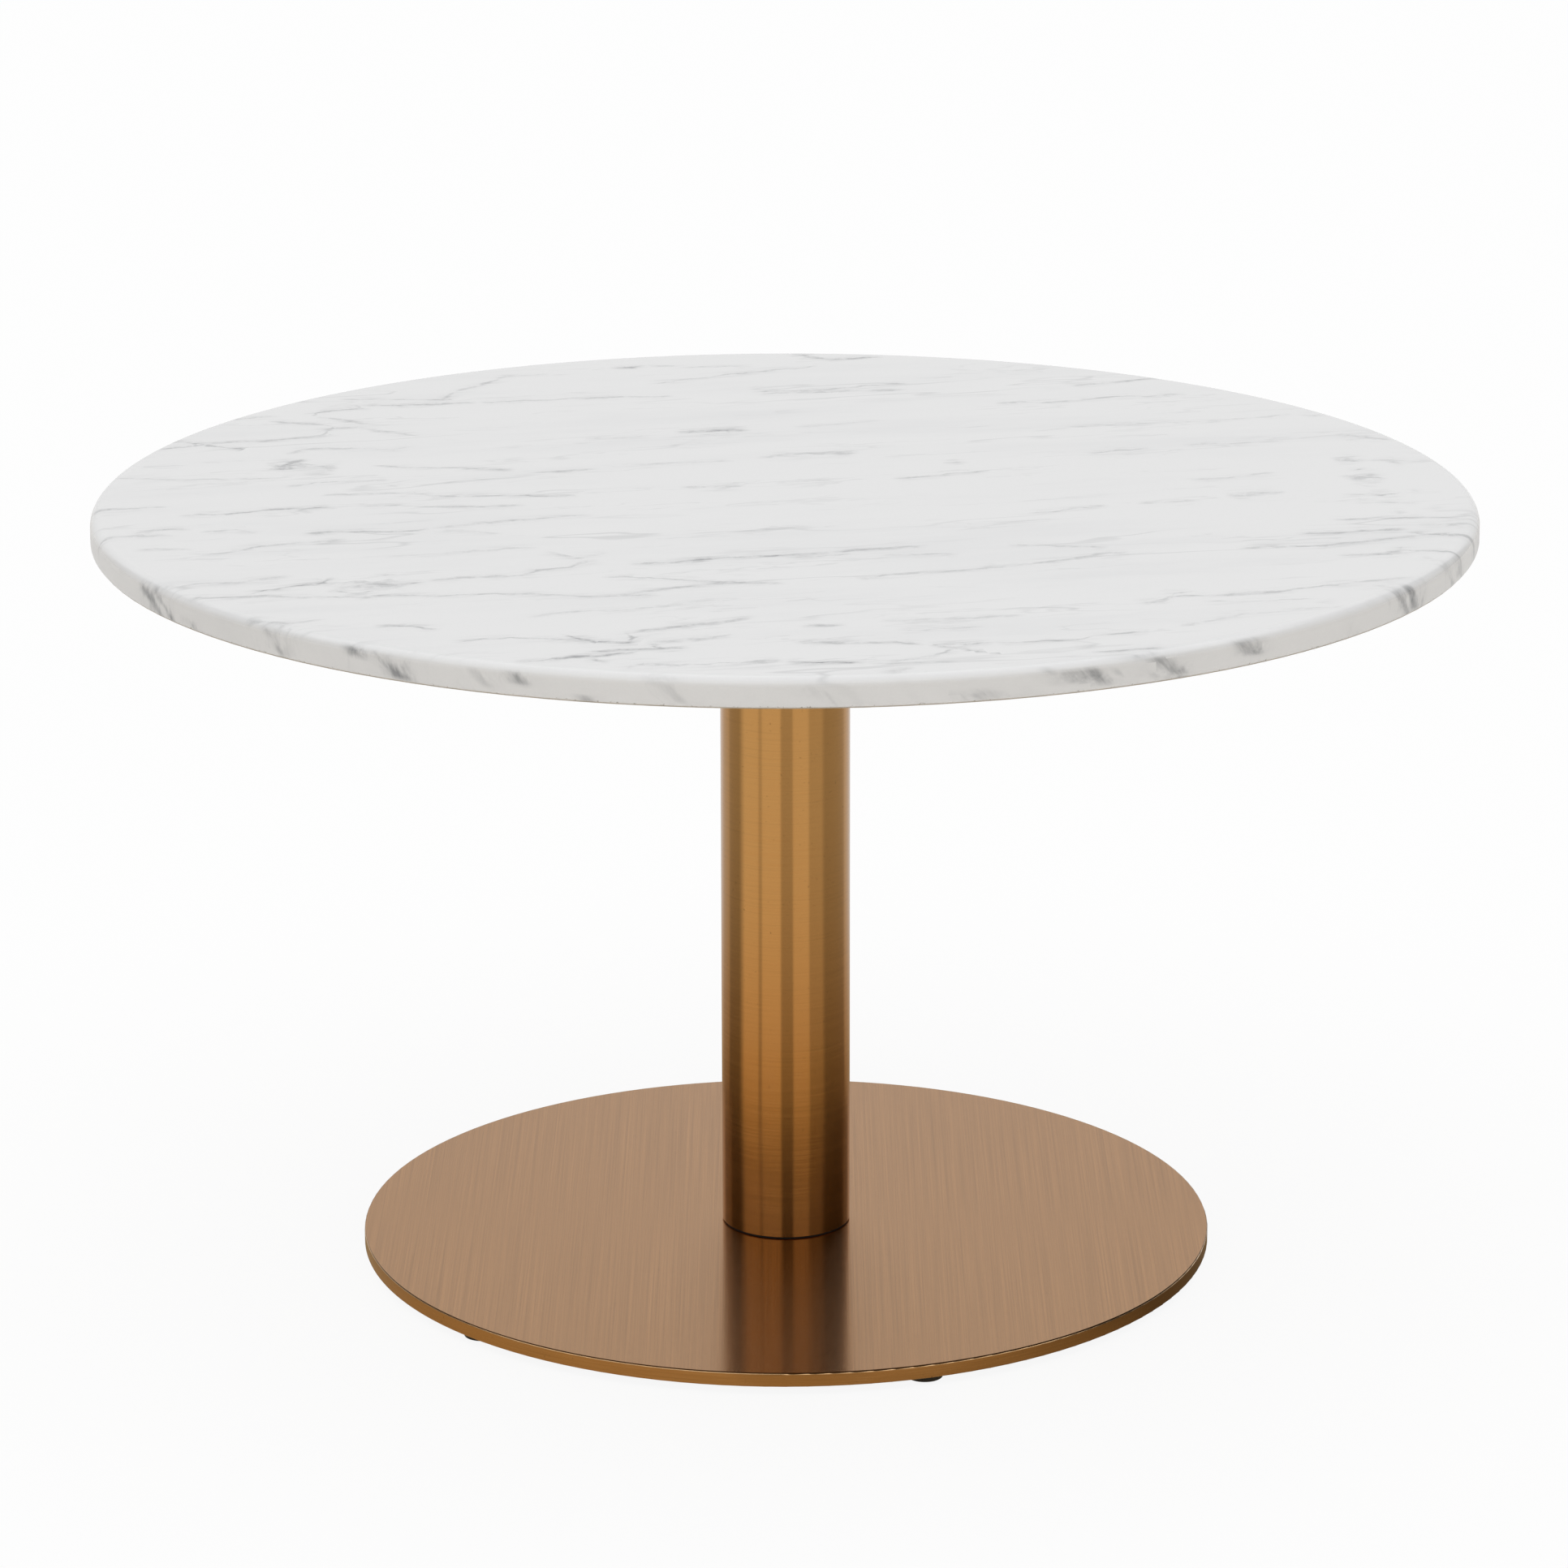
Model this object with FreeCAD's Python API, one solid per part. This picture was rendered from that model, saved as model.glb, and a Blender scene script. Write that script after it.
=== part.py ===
import FreeCAD, Part
import math
import os

from FreeCAD import Vector

# Round cocktail table: a marble top on a brushed bronze column and a flat disc base.
# Millimetres. The origin is on the floor under the middle of the column, +Z is up and -Y is the front.
# Angles are in degrees, counted from the front towards +X.

# Overall sizes
TABLE_HEIGHT = 456.3
TOP_DIAMETER = 800.0

# Marble slab and the backing film bonded to its underside
SLAB_THICKNESS = 16.0
SLAB_SHOULDER_RADIUS = 7.0
SLAB_ARRIS_RADIUS = 1.0
BACKING_THICKNESS = 0.6

# Threaded inserts bonded into blind holes in the slab, set in from the edge of the mounting plate
INSERT_COUNT = 6
INSERT_FIRST_ANGLE = 30.0
INSERT_EDGE_DISTANCE = 25.0
INSERT_DIAMETER = 10.0
INSERT_LENGTH = 11.0
INSERT_BOND_GAP = 0.1

# Mounting plate under the slab
TOP_PLATE_DIAMETER = 360.0
TOP_PLATE_THICKNESS = 5.0
TOP_PLATE_EDGE_ROUND = 1.0

# Button-head screws and washers that hold the plate to the inserts
TOP_SCREW_DIAMETER = 6.0
TOP_SCREW_GRIP = 8.0
TOP_SCREW_HEAD_DIAMETER = 10.5
TOP_SCREW_HEAD_HEIGHT = 3.3
TOP_SCREW_HEAD_ROUND = 2.2
TOP_SCREW_SOCKET_WIDTH = 4.0
TOP_SCREW_SOCKET_DEPTH = 1.8
TOP_SCREW_HOLE_CLEARANCE = 0.4
WASHER_DIAMETER = 12.5
WASHER_THICKNESS = 1.6

# Column tube, the flanges welded into its ends and the gasket under its foot
COLUMN_DIAMETER = 76.0
COLUMN_WALL = 1.5
COLUMN_END_CHAMFER = 0.4
FLANGE_THICKNESS = 8.0
FLANGE_BORE_DIAMETER = 20.0
FLANGE_WELD_GAP = 0.1
FLANGE_EDGE_CHAMFER = 1.5
GASKET_THICKNESS = 0.6
GASKET_INSET = 0.6

# Countersunk screws at both ends of the column
FLANGE_SCREW_COUNT = 4
FLANGE_SCREW_FIRST_ANGLE = 45.0
FLANGE_SCREW_CIRCLE_DIAMETER = 44.0
FLANGE_SCREW_DIAMETER = 8.0
FLANGE_SCREW_GRIP = 7.0
FLANGE_SCREW_HEAD_HEIGHT = 3.6
FLANGE_SCREW_SOCKET_WIDTH = 5.0
FLANGE_SCREW_SOCKET_DEPTH = 2.4
FLANGE_SCREW_HOLE_CLEARANCE = 0.5
COUNTERSINK_CLEARANCE = 0.1

# Base: steel weight, rim band and the thin brushed cover sheet that lies over both
BASE_PLATE_DIAMETER = 501.2
BASE_PLATE_THICKNESS = 7.8
RIM_BAND_THICKNESS = 1.2
RIM_BAND_BOND_GAP = 0.1
RIM_BAND_EDGE_ROUND = 0.5
BASE_COVER_THICKNESS = 0.6
BASE_COVER_INSET = 0.4
BASE_COVER_EDGE_ROUND = 0.1

# Screw-in glides under the base: the first and the last stand at the front, a little closer than the rest
GLIDE_COUNT = 5
GLIDE_FIRST_ANGLE = 19.3
GLIDE_FRONT_SPREAD = 67.1
GLIDE_EDGE_DISTANCE = 4.4
GLIDE_PAD_DIAMETER = 21.0
GLIDE_PAD_HEIGHT = 4.7
GLIDE_PAD_FOOT_ROUND = 0.8
GLIDE_PAD_TOP_ROUND = 0.4
GLIDE_PAD_FLOOR = 1.4
GLIDE_FLUTE_COUNT = 16
GLIDE_FLUTE_RADIUS = 1.1
GLIDE_FLUTE_DEPTH = 0.4
GLIDE_STOP_GAP = 0.3
GLIDE_STUD_DIAMETER = 8.0
GLIDE_STUD_CHAMFER = 0.8
GLIDE_STUD_END_GAP = 0.2
GLIDE_STUD_HEAD_DIAMETER = 13.0
GLIDE_STUD_HEAD_THICKNESS = 1.5

# Clearances shared by several pieces
THREAD_CLEARANCE = 0.05
CUT_OVERRUN = 1.0

# Heights, from the floor up
BASE_BOTTOM = GLIDE_PAD_HEIGHT + GLIDE_STOP_GAP
BASE_PLATE_TOP = BASE_BOTTOM + BASE_PLATE_THICKNESS
COVER_TOP = BASE_PLATE_TOP + BASE_COVER_THICKNESS
COLUMN_BOTTOM = COVER_TOP + GASKET_THICKNESS
SLAB_BOTTOM = TABLE_HEIGHT - SLAB_THICKNESS
BACKING_BOTTOM = SLAB_BOTTOM - BACKING_THICKNESS
COLUMN_TOP = BACKING_BOTTOM - TOP_PLATE_THICKNESS

# Radii that several pieces share
SLAB_RADIUS = TOP_DIAMETER / 2
COLUMN_RADIUS = COLUMN_DIAMETER / 2
BASE_PLATE_RADIUS = BASE_PLATE_DIAMETER / 2
RIM_BAND_INNER_RADIUS = BASE_PLATE_RADIUS + RIM_BAND_BOND_GAP
RIM_BAND_OUTER_RADIUS = RIM_BAND_INNER_RADIUS + RIM_BAND_THICKNESS
BASE_COVER_RADIUS = RIM_BAND_OUTER_RADIUS - BASE_COVER_INSET
INSERT_HOLE_RADIUS = INSERT_DIAMETER / 2 + INSERT_BOND_GAP
TOP_SCREW_RADIUS = TOP_SCREW_DIAMETER / 2
TOP_SCREW_HOLE_RADIUS = TOP_SCREW_RADIUS + TOP_SCREW_HOLE_CLEARANCE
FLANGE_SCREW_RADIUS = FLANGE_SCREW_DIAMETER / 2
FLANGE_SCREW_HOLE_RADIUS = FLANGE_SCREW_RADIUS + FLANGE_SCREW_HOLE_CLEARANCE
FLANGE_SCREW_HEAD_RADIUS = FLANGE_SCREW_RADIUS + FLANGE_SCREW_HEAD_HEIGHT
FLANGE_TAPPED_RADIUS = FLANGE_SCREW_RADIUS + THREAD_CLEARANCE
GLIDE_PAD_RADIUS = GLIDE_PAD_DIAMETER / 2
GLIDE_STUD_RADIUS = GLIDE_STUD_DIAMETER / 2
GLIDE_TAPPED_RADIUS = GLIDE_STUD_RADIUS + THREAD_CLEARANCE
INSERT_CIRCLE_DIAMETER = TOP_PLATE_DIAMETER - 2 * INSERT_EDGE_DISTANCE
GLIDE_CIRCLE_DIAMETER = BASE_PLATE_DIAMETER - 2 * GLIDE_EDGE_DISTANCE - GLIDE_PAD_DIAMETER

# Directions in which a screw points
UP = 1
DOWN = -1

Z_AXIS = Vector(0, 0, 1)
ORIGIN = Vector(0, 0, 0)


def rounded_corner(before, corner, after, radius):
    """Start, middle and end of the arc of a given radius that rounds one corner."""
    to_before = (before - corner).normalize()
    to_after = (after - corner).normalize()
    half_angle = to_before.getAngle(to_after) / 2
    reach = radius / math.tan(half_angle)
    inward = (to_before + to_after).normalize()
    centre = corner + inward * (radius / math.sin(half_angle))
    return corner + to_before * reach, centre - inward * radius, corner + to_after * reach


def lathe(corners):
    """Turn a closed outline about Z. Each corner is (radius, height) or (radius, height, rounding)."""
    points = [Vector(corner[0], 0, corner[1]) for corner in corners]
    arcs = []
    for number, corner in enumerate(corners):
        if len(corner) == 3:
            before = points[number - 1]
            after = points[(number + 1) % len(points)]
            arcs.append(rounded_corner(before, points[number], after, corner[2]))
        else:
            arcs.append((points[number],))
    edges = []
    for number, arc in enumerate(arcs):
        if len(arc) == 3:
            edges.append(Part.Arc(*arc).toShape())
        following = arcs[(number + 1) % len(arcs)]
        edges.append(Part.LineSegment(arc[-1], following[0]).toShape())
    return Part.Face(Part.Wire(edges)).revolve(ORIGIN, Z_AXIS, 360)


def cylinder(radius, bottom, top):
    """Upright cylinder on the Z axis."""
    return Part.makeCylinder(radius, top - bottom, Vector(0, 0, bottom))


def through_hole(radius, bottom, top):
    """Cylinder that cuts right through everything from bottom to top."""
    return cylinder(radius, bottom - CUT_OVERRUN, top + CUT_OVERRUN)


def on_circle(shape, count, diameter, first_angle, step):
    """Copies of a shape modelled on the Z axis, set out on a circle with an equal step between them."""
    copies = []
    for number in range(count):
        copy = shape.copy()
        copy.translate(Vector(0, -diameter / 2, 0))
        copy.rotate(ORIGIN, Z_AXIS, first_angle + number * step)
        copies.append(copy)
    return copies


def all_round(shape, count, diameter, first_angle):
    """Copies of a shape modelled on the Z axis, set out evenly all round a circle."""
    return on_circle(shape, count, diameter, first_angle, 360 / count)


def hex_prism(width, bottom, top):
    """Upright hexagonal prism, width across flats."""
    corner_radius = width / 2 / math.cos(math.pi / 6)
    corners = []
    for number in range(7):
        angle = number * math.pi / 3
        corners.append(Vector(corner_radius * math.cos(angle), corner_radius * math.sin(angle), bottom))
    return Part.Face(Part.makePolygon(corners)).extrude(Vector(0, 0, top - bottom))


def at_inserts(shape):
    """Copies of a shape at the places of the slab's inserts."""
    return all_round(shape, INSERT_COUNT, INSERT_CIRCLE_DIAMETER, INSERT_FIRST_ANGLE)


def at_flange_screws(shape):
    """Copies of a shape at the places of the column's flange screws."""
    return all_round(shape, FLANGE_SCREW_COUNT, FLANGE_SCREW_CIRCLE_DIAMETER, FLANGE_SCREW_FIRST_ANGLE)


def at_glides(shape):
    """Copies of a shape at the places of the glides, which share the way round the back evenly."""
    step = (360 - GLIDE_FRONT_SPREAD) / (GLIDE_COUNT - 1)
    return on_circle(shape, GLIDE_COUNT, GLIDE_CIRCLE_DIAMETER, GLIDE_FIRST_ANGLE, step)


def make_marble_top():
    """Slab with a rounded shoulder, a small arris and blind holes for the inserts."""
    slab = lathe([
        (0, SLAB_BOTTOM),
        (SLAB_RADIUS, SLAB_BOTTOM, SLAB_ARRIS_RADIUS),
        (SLAB_RADIUS, TABLE_HEIGHT, SLAB_SHOULDER_RADIUS),
        (0, TABLE_HEIGHT),
    ])
    hole_top = BACKING_BOTTOM + INSERT_LENGTH + INSERT_BOND_GAP
    return slab.cut(at_inserts(cylinder(INSERT_HOLE_RADIUS, SLAB_BOTTOM - CUT_OVERRUN, hole_top)))


def make_slab_backing():
    """Thin film under the flat of the slab, open at the inserts."""
    film = cylinder(SLAB_RADIUS - SLAB_ARRIS_RADIUS, BACKING_BOTTOM, SLAB_BOTTOM)
    return film.cut(at_inserts(through_hole(INSERT_HOLE_RADIUS, BACKING_BOTTOM, SLAB_BOTTOM)))


def make_top_inserts():
    """Plain-walled threaded bushes, flush with the film."""
    bush = cylinder(INSERT_DIAMETER / 2, BACKING_BOTTOM, BACKING_BOTTOM + INSERT_LENGTH)
    thread_radius = TOP_SCREW_RADIUS + THREAD_CLEARANCE
    thread = through_hole(thread_radius, BACKING_BOTTOM, BACKING_BOTTOM + INSERT_LENGTH)
    return Part.makeCompound(at_inserts(bush.cut(thread)))


def countersunk_hole(face, far_face, points):
    """Cutter for a countersunk hole that opens at face and points up or down to far_face."""
    mouth_radius = FLANGE_SCREW_HEAD_RADIUS + COUNTERSINK_CLEARANCE
    cone_height = mouth_radius - FLANGE_SCREW_HOLE_RADIUS
    return lathe([
        (0, face - points * CUT_OVERRUN),
        (mouth_radius, face - points * CUT_OVERRUN),
        (mouth_radius, face),
        (FLANGE_SCREW_HOLE_RADIUS, face + points * cone_height),
        (FLANGE_SCREW_HOLE_RADIUS, far_face + points * CUT_OVERRUN),
        (0, far_face + points * CUT_OVERRUN),
    ])


def countersunk_screw(face, flange_face, points):
    """Countersunk screw with its head flush at face and its grip past flange_face."""
    tip = flange_face + points * FLANGE_SCREW_GRIP
    screw = lathe([
        (0, face),
        (FLANGE_SCREW_HEAD_RADIUS, face),
        (FLANGE_SCREW_RADIUS, face + points * FLANGE_SCREW_HEAD_HEIGHT),
        (FLANGE_SCREW_RADIUS, tip),
        (0, tip),
    ])
    socket_ends = sorted([face - points * CUT_OVERRUN, face + points * FLANGE_SCREW_SOCKET_DEPTH])
    return screw.cut(hex_prism(FLANGE_SCREW_SOCKET_WIDTH, *socket_ends))


def make_top_plate():
    """Steel disc between the column and the slab, drilled for both sets of screws."""
    plate = lathe([
        (0, COLUMN_TOP),
        (TOP_PLATE_DIAMETER / 2, COLUMN_TOP, TOP_PLATE_EDGE_ROUND),
        (TOP_PLATE_DIAMETER / 2, BACKING_BOTTOM, TOP_PLATE_EDGE_ROUND),
        (0, BACKING_BOTTOM),
    ])
    holes = at_inserts(through_hole(TOP_SCREW_HOLE_RADIUS, COLUMN_TOP, BACKING_BOTTOM))
    holes += at_flange_screws(countersunk_hole(BACKING_BOTTOM, COLUMN_TOP, DOWN))
    return plate.cut(holes)


def make_top_flange_screws():
    """Countersunk screws from the top plate down into the column's top flange."""
    return Part.makeCompound(at_flange_screws(countersunk_screw(BACKING_BOTTOM, COLUMN_TOP, DOWN)))


def make_top_screw_washers():
    """Flat washers under the heads of the top screws."""
    washer = cylinder(WASHER_DIAMETER / 2, COLUMN_TOP - WASHER_THICKNESS, COLUMN_TOP)
    hole = through_hole(TOP_SCREW_HOLE_RADIUS, COLUMN_TOP - WASHER_THICKNESS, COLUMN_TOP)
    return Part.makeCompound(at_inserts(washer.cut(hole)))


def make_top_screws():
    """Button-head screws from below, through washer and plate into the inserts."""
    head_top = COLUMN_TOP - WASHER_THICKNESS
    head_bottom = head_top - TOP_SCREW_HEAD_HEIGHT
    tip = BACKING_BOTTOM + TOP_SCREW_GRIP
    screw = lathe([
        (0, head_bottom),
        (TOP_SCREW_HEAD_DIAMETER / 2, head_bottom, TOP_SCREW_HEAD_ROUND),
        (TOP_SCREW_HEAD_DIAMETER / 2, head_top),
        (TOP_SCREW_RADIUS, head_top),
        (TOP_SCREW_RADIUS, tip),
        (0, tip),
    ])
    socket_top = head_bottom + TOP_SCREW_SOCKET_DEPTH
    socket = hex_prism(TOP_SCREW_SOCKET_WIDTH, head_bottom - CUT_OVERRUN, socket_top)
    return Part.makeCompound(at_inserts(screw.cut(socket)))


def make_column_tube():
    """Straight tube with its outer end edges eased."""
    return lathe([
        (COLUMN_RADIUS - COLUMN_WALL, COLUMN_BOTTOM),
        (COLUMN_RADIUS - COLUMN_END_CHAMFER, COLUMN_BOTTOM),
        (COLUMN_RADIUS, COLUMN_BOTTOM + COLUMN_END_CHAMFER),
        (COLUMN_RADIUS, COLUMN_TOP - COLUMN_END_CHAMFER),
        (COLUMN_RADIUS - COLUMN_END_CHAMFER, COLUMN_TOP),
        (COLUMN_RADIUS - COLUMN_WALL, COLUMN_TOP),
    ])


def make_column_flange(outer_face, points):
    """Disc flush with one end of the tube, bevelled for its weld inside, tapped for four screws."""
    radius = COLUMN_RADIUS - COLUMN_WALL - FLANGE_WELD_GAP
    inner_face = outer_face + points * FLANGE_THICKNESS
    flange = lathe([
        (FLANGE_BORE_DIAMETER / 2, outer_face),
        (radius, outer_face),
        (radius, inner_face - points * FLANGE_EDGE_CHAMFER),
        (radius - FLANGE_EDGE_CHAMFER, inner_face),
        (FLANGE_BORE_DIAMETER / 2, inner_face),
    ])
    lower, upper = sorted([outer_face, inner_face])
    return flange.cut(at_flange_screws(through_hole(FLANGE_TAPPED_RADIUS, lower, upper)))


def make_column_gasket():
    """Thin washer-like gasket, a little smaller than the tube, which shows as a dark line."""
    gasket = lathe([
        (FLANGE_BORE_DIAMETER / 2, COVER_TOP),
        (COLUMN_RADIUS - GASKET_INSET, COVER_TOP),
        (COLUMN_RADIUS - GASKET_INSET, COLUMN_BOTTOM),
        (FLANGE_BORE_DIAMETER / 2, COLUMN_BOTTOM),
    ])
    return gasket.cut(at_flange_screws(through_hole(FLANGE_SCREW_HOLE_RADIUS, COVER_TOP, COLUMN_BOTTOM)))


def make_base_plate():
    """Steel weight with countersunk holes for the column and tapped holes for the glides."""
    plate = lathe([
        (0, BASE_BOTTOM),
        (BASE_PLATE_RADIUS, BASE_BOTTOM),
        (BASE_PLATE_RADIUS, BASE_PLATE_TOP),
        (0, BASE_PLATE_TOP),
    ])
    holes = at_flange_screws(countersunk_hole(BASE_BOTTOM, BASE_PLATE_TOP, UP))
    holes += at_glides(through_hole(GLIDE_TAPPED_RADIUS, BASE_BOTTOM, BASE_PLATE_TOP))
    return plate.cut(holes)


def make_base_screws():
    """Countersunk screws from under the base plate up into the column's foot flange."""
    return Part.makeCompound(at_flange_screws(countersunk_screw(BASE_BOTTOM, COLUMN_BOTTOM, UP)))


def make_base_cover():
    """Thin brushed sheet over the base plate and the top edge of the rim band."""
    cover = lathe([
        (0, BASE_PLATE_TOP),
        (BASE_COVER_RADIUS, BASE_PLATE_TOP),
        (BASE_COVER_RADIUS, COVER_TOP, BASE_COVER_EDGE_ROUND),
        (0, COVER_TOP),
    ])
    return cover.cut(at_flange_screws(through_hole(FLANGE_SCREW_HOLE_RADIUS, BASE_PLATE_TOP, COVER_TOP)))


def make_base_rim_band():
    """Flat band bent round the edge of the base plate, with eased outer edges."""
    return lathe([
        (RIM_BAND_INNER_RADIUS, BASE_BOTTOM),
        (RIM_BAND_OUTER_RADIUS, BASE_BOTTOM, RIM_BAND_EDGE_ROUND),
        (RIM_BAND_OUTER_RADIUS, BASE_PLATE_TOP, RIM_BAND_EDGE_ROUND),
        (RIM_BAND_INNER_RADIUS, BASE_PLATE_TOP),
    ])


def make_glide_pads():
    """Round feet with grip flutes, each moulded round the head of its stud."""
    neck_radius = GLIDE_STUD_RADIUS + THREAD_CLEARANCE
    pocket_radius = GLIDE_STUD_HEAD_DIAMETER / 2 + THREAD_CLEARANCE
    pocket_top = GLIDE_PAD_FLOOR + GLIDE_STUD_HEAD_THICKNESS + 2 * THREAD_CLEARANCE
    pad = lathe([
        (0, 0),
        (GLIDE_PAD_RADIUS, 0, GLIDE_PAD_FOOT_ROUND),
        (GLIDE_PAD_RADIUS, GLIDE_PAD_HEIGHT, GLIDE_PAD_TOP_ROUND),
        (neck_radius, GLIDE_PAD_HEIGHT),
        (neck_radius, pocket_top),
        (pocket_radius, pocket_top),
        (pocket_radius, GLIDE_PAD_FLOOR),
        (0, GLIDE_PAD_FLOOR),
    ])
    flute = through_hole(GLIDE_FLUTE_RADIUS, 0, GLIDE_PAD_HEIGHT)
    flute_circle = GLIDE_PAD_DIAMETER + 2 * (GLIDE_FLUTE_RADIUS - GLIDE_FLUTE_DEPTH)
    return at_glides(pad.cut(all_round(flute, GLIDE_FLUTE_COUNT, flute_circle, 0)))


def make_glide_studs():
    """Threaded studs, each with a round head held in its pad and its shank in the base plate."""
    head_bottom = GLIDE_PAD_FLOOR + THREAD_CLEARANCE
    head_top = head_bottom + GLIDE_STUD_HEAD_THICKNESS
    tip = BASE_PLATE_TOP - GLIDE_STUD_END_GAP
    stud = lathe([
        (0, head_bottom),
        (GLIDE_STUD_HEAD_DIAMETER / 2, head_bottom),
        (GLIDE_STUD_HEAD_DIAMETER / 2, head_top),
        (GLIDE_STUD_RADIUS, head_top),
        (GLIDE_STUD_RADIUS, tip - GLIDE_STUD_CHAMFER),
        (GLIDE_STUD_RADIUS - GLIDE_STUD_CHAMFER, tip),
        (0, tip),
    ])
    return at_glides(stud)


def make_pieces():
    """Every piece of the table by name."""
    pieces = {
        "marble_top": make_marble_top(),
        "slab_backing": make_slab_backing(),
        "top_inserts": make_top_inserts(),
        "top_plate": make_top_plate(),
        "top_screw_washers": make_top_screw_washers(),
        "top_screws": make_top_screws(),
        "top_flange_screws": make_top_flange_screws(),
        "column_top_flange": make_column_flange(COLUMN_TOP, DOWN),
        "column_tube": make_column_tube(),
        "column_foot_flange": make_column_flange(COLUMN_BOTTOM, UP),
        "column_gasket": make_column_gasket(),
        "base_cover": make_base_cover(),
        "base_rim_band": make_base_rim_band(),
        "base_plate": make_base_plate(),
        "base_screws": make_base_screws(),
    }
    for number, pad in enumerate(make_glide_pads(), start=1):
        pieces[f"glide_{number}_pad"] = pad
    for number, stud in enumerate(make_glide_studs(), start=1):
        pieces[f"glide_{number}_stud"] = stud
    return pieces


os.makedirs("parts", exist_ok=True)
for name, shape in make_pieces().items():
    shape.exportStep(f"parts/{name}.step")
    print(f"{name}: {len(shape.Solids)} solids, {shape.Volume:.1f} mm3, valid {shape.isValid()}")
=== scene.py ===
"""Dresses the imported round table: marble, bronze and fixings, with a plain studio and a camera.

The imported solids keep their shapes. Each sub-assembly is a class that knows its nodes and sizes, builds
the mesh that needs more than the solid gives, and dresses every node with a procedural finish.
Lengths are metres in the frame of the solids; the veins alone are written in millimetres.
"""

import logging
import math
from dataclasses import dataclass, field, replace
from enum import Enum
from typing import Optional, Sequence, Union

import bmesh
import bpy
import numpy as np
from mathutils import Matrix, Vector


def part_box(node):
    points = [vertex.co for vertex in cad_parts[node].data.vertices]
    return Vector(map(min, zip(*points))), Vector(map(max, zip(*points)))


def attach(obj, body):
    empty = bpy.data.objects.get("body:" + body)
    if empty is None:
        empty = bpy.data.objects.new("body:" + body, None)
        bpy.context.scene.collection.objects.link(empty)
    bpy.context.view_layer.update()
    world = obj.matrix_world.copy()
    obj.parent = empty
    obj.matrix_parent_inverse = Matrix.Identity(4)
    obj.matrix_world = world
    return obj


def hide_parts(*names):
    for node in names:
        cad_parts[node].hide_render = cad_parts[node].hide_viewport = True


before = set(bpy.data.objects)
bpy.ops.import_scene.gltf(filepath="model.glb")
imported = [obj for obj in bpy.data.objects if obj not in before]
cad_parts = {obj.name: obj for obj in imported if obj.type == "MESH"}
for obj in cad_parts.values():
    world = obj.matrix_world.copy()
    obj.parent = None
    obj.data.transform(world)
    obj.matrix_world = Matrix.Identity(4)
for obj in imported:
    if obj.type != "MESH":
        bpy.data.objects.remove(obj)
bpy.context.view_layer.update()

LOG = logging.getLogger("round_table")
MM = 0.001
QUARTER_TURN = 0.25
NOISE_MIDDLE = 0.5
TABLE_BODY = "table"
VEIN_LAYERS = ("vein_first", "vein_second")
SLAB_LOW, SLAB_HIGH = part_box("marble_top")
COVER_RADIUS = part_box("base_cover")[1].x
BAND_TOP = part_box("base_rim_band")[1].z

Socket = bpy.types.NodeSocket
Feed = Union[Socket, float, Sequence[float]]
Colour = tuple[float, float, float]
Place = tuple[float, float, float]
Point = tuple[float, float]
Span = tuple[float, float]


class Grain(Enum):
    """Which way a brushed surface's hairlines run."""

    AROUND = "around the axis"
    FRONT_TO_BACK = "front to back"


class VeinWeight(Enum):
    """How strongly a vein is drawn in the stone, from 0 to 1."""

    BOLD = 1.0
    PLAIN = 0.68
    FAINT = 0.42


@dataclass(frozen=True)
class Noise:
    """A noise's scale, its finer layers and their strength, and the stretch of its values that counts."""

    scale: float
    detail: float = 2.0
    roughness: float = 0.5
    low: float = 0.3
    high: float = 0.7

    def times(self, factor: float) -> "Noise":
        """Returns the same noise with its scale multiplied."""
        return replace(self, scale=self.scale * factor)


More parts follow.
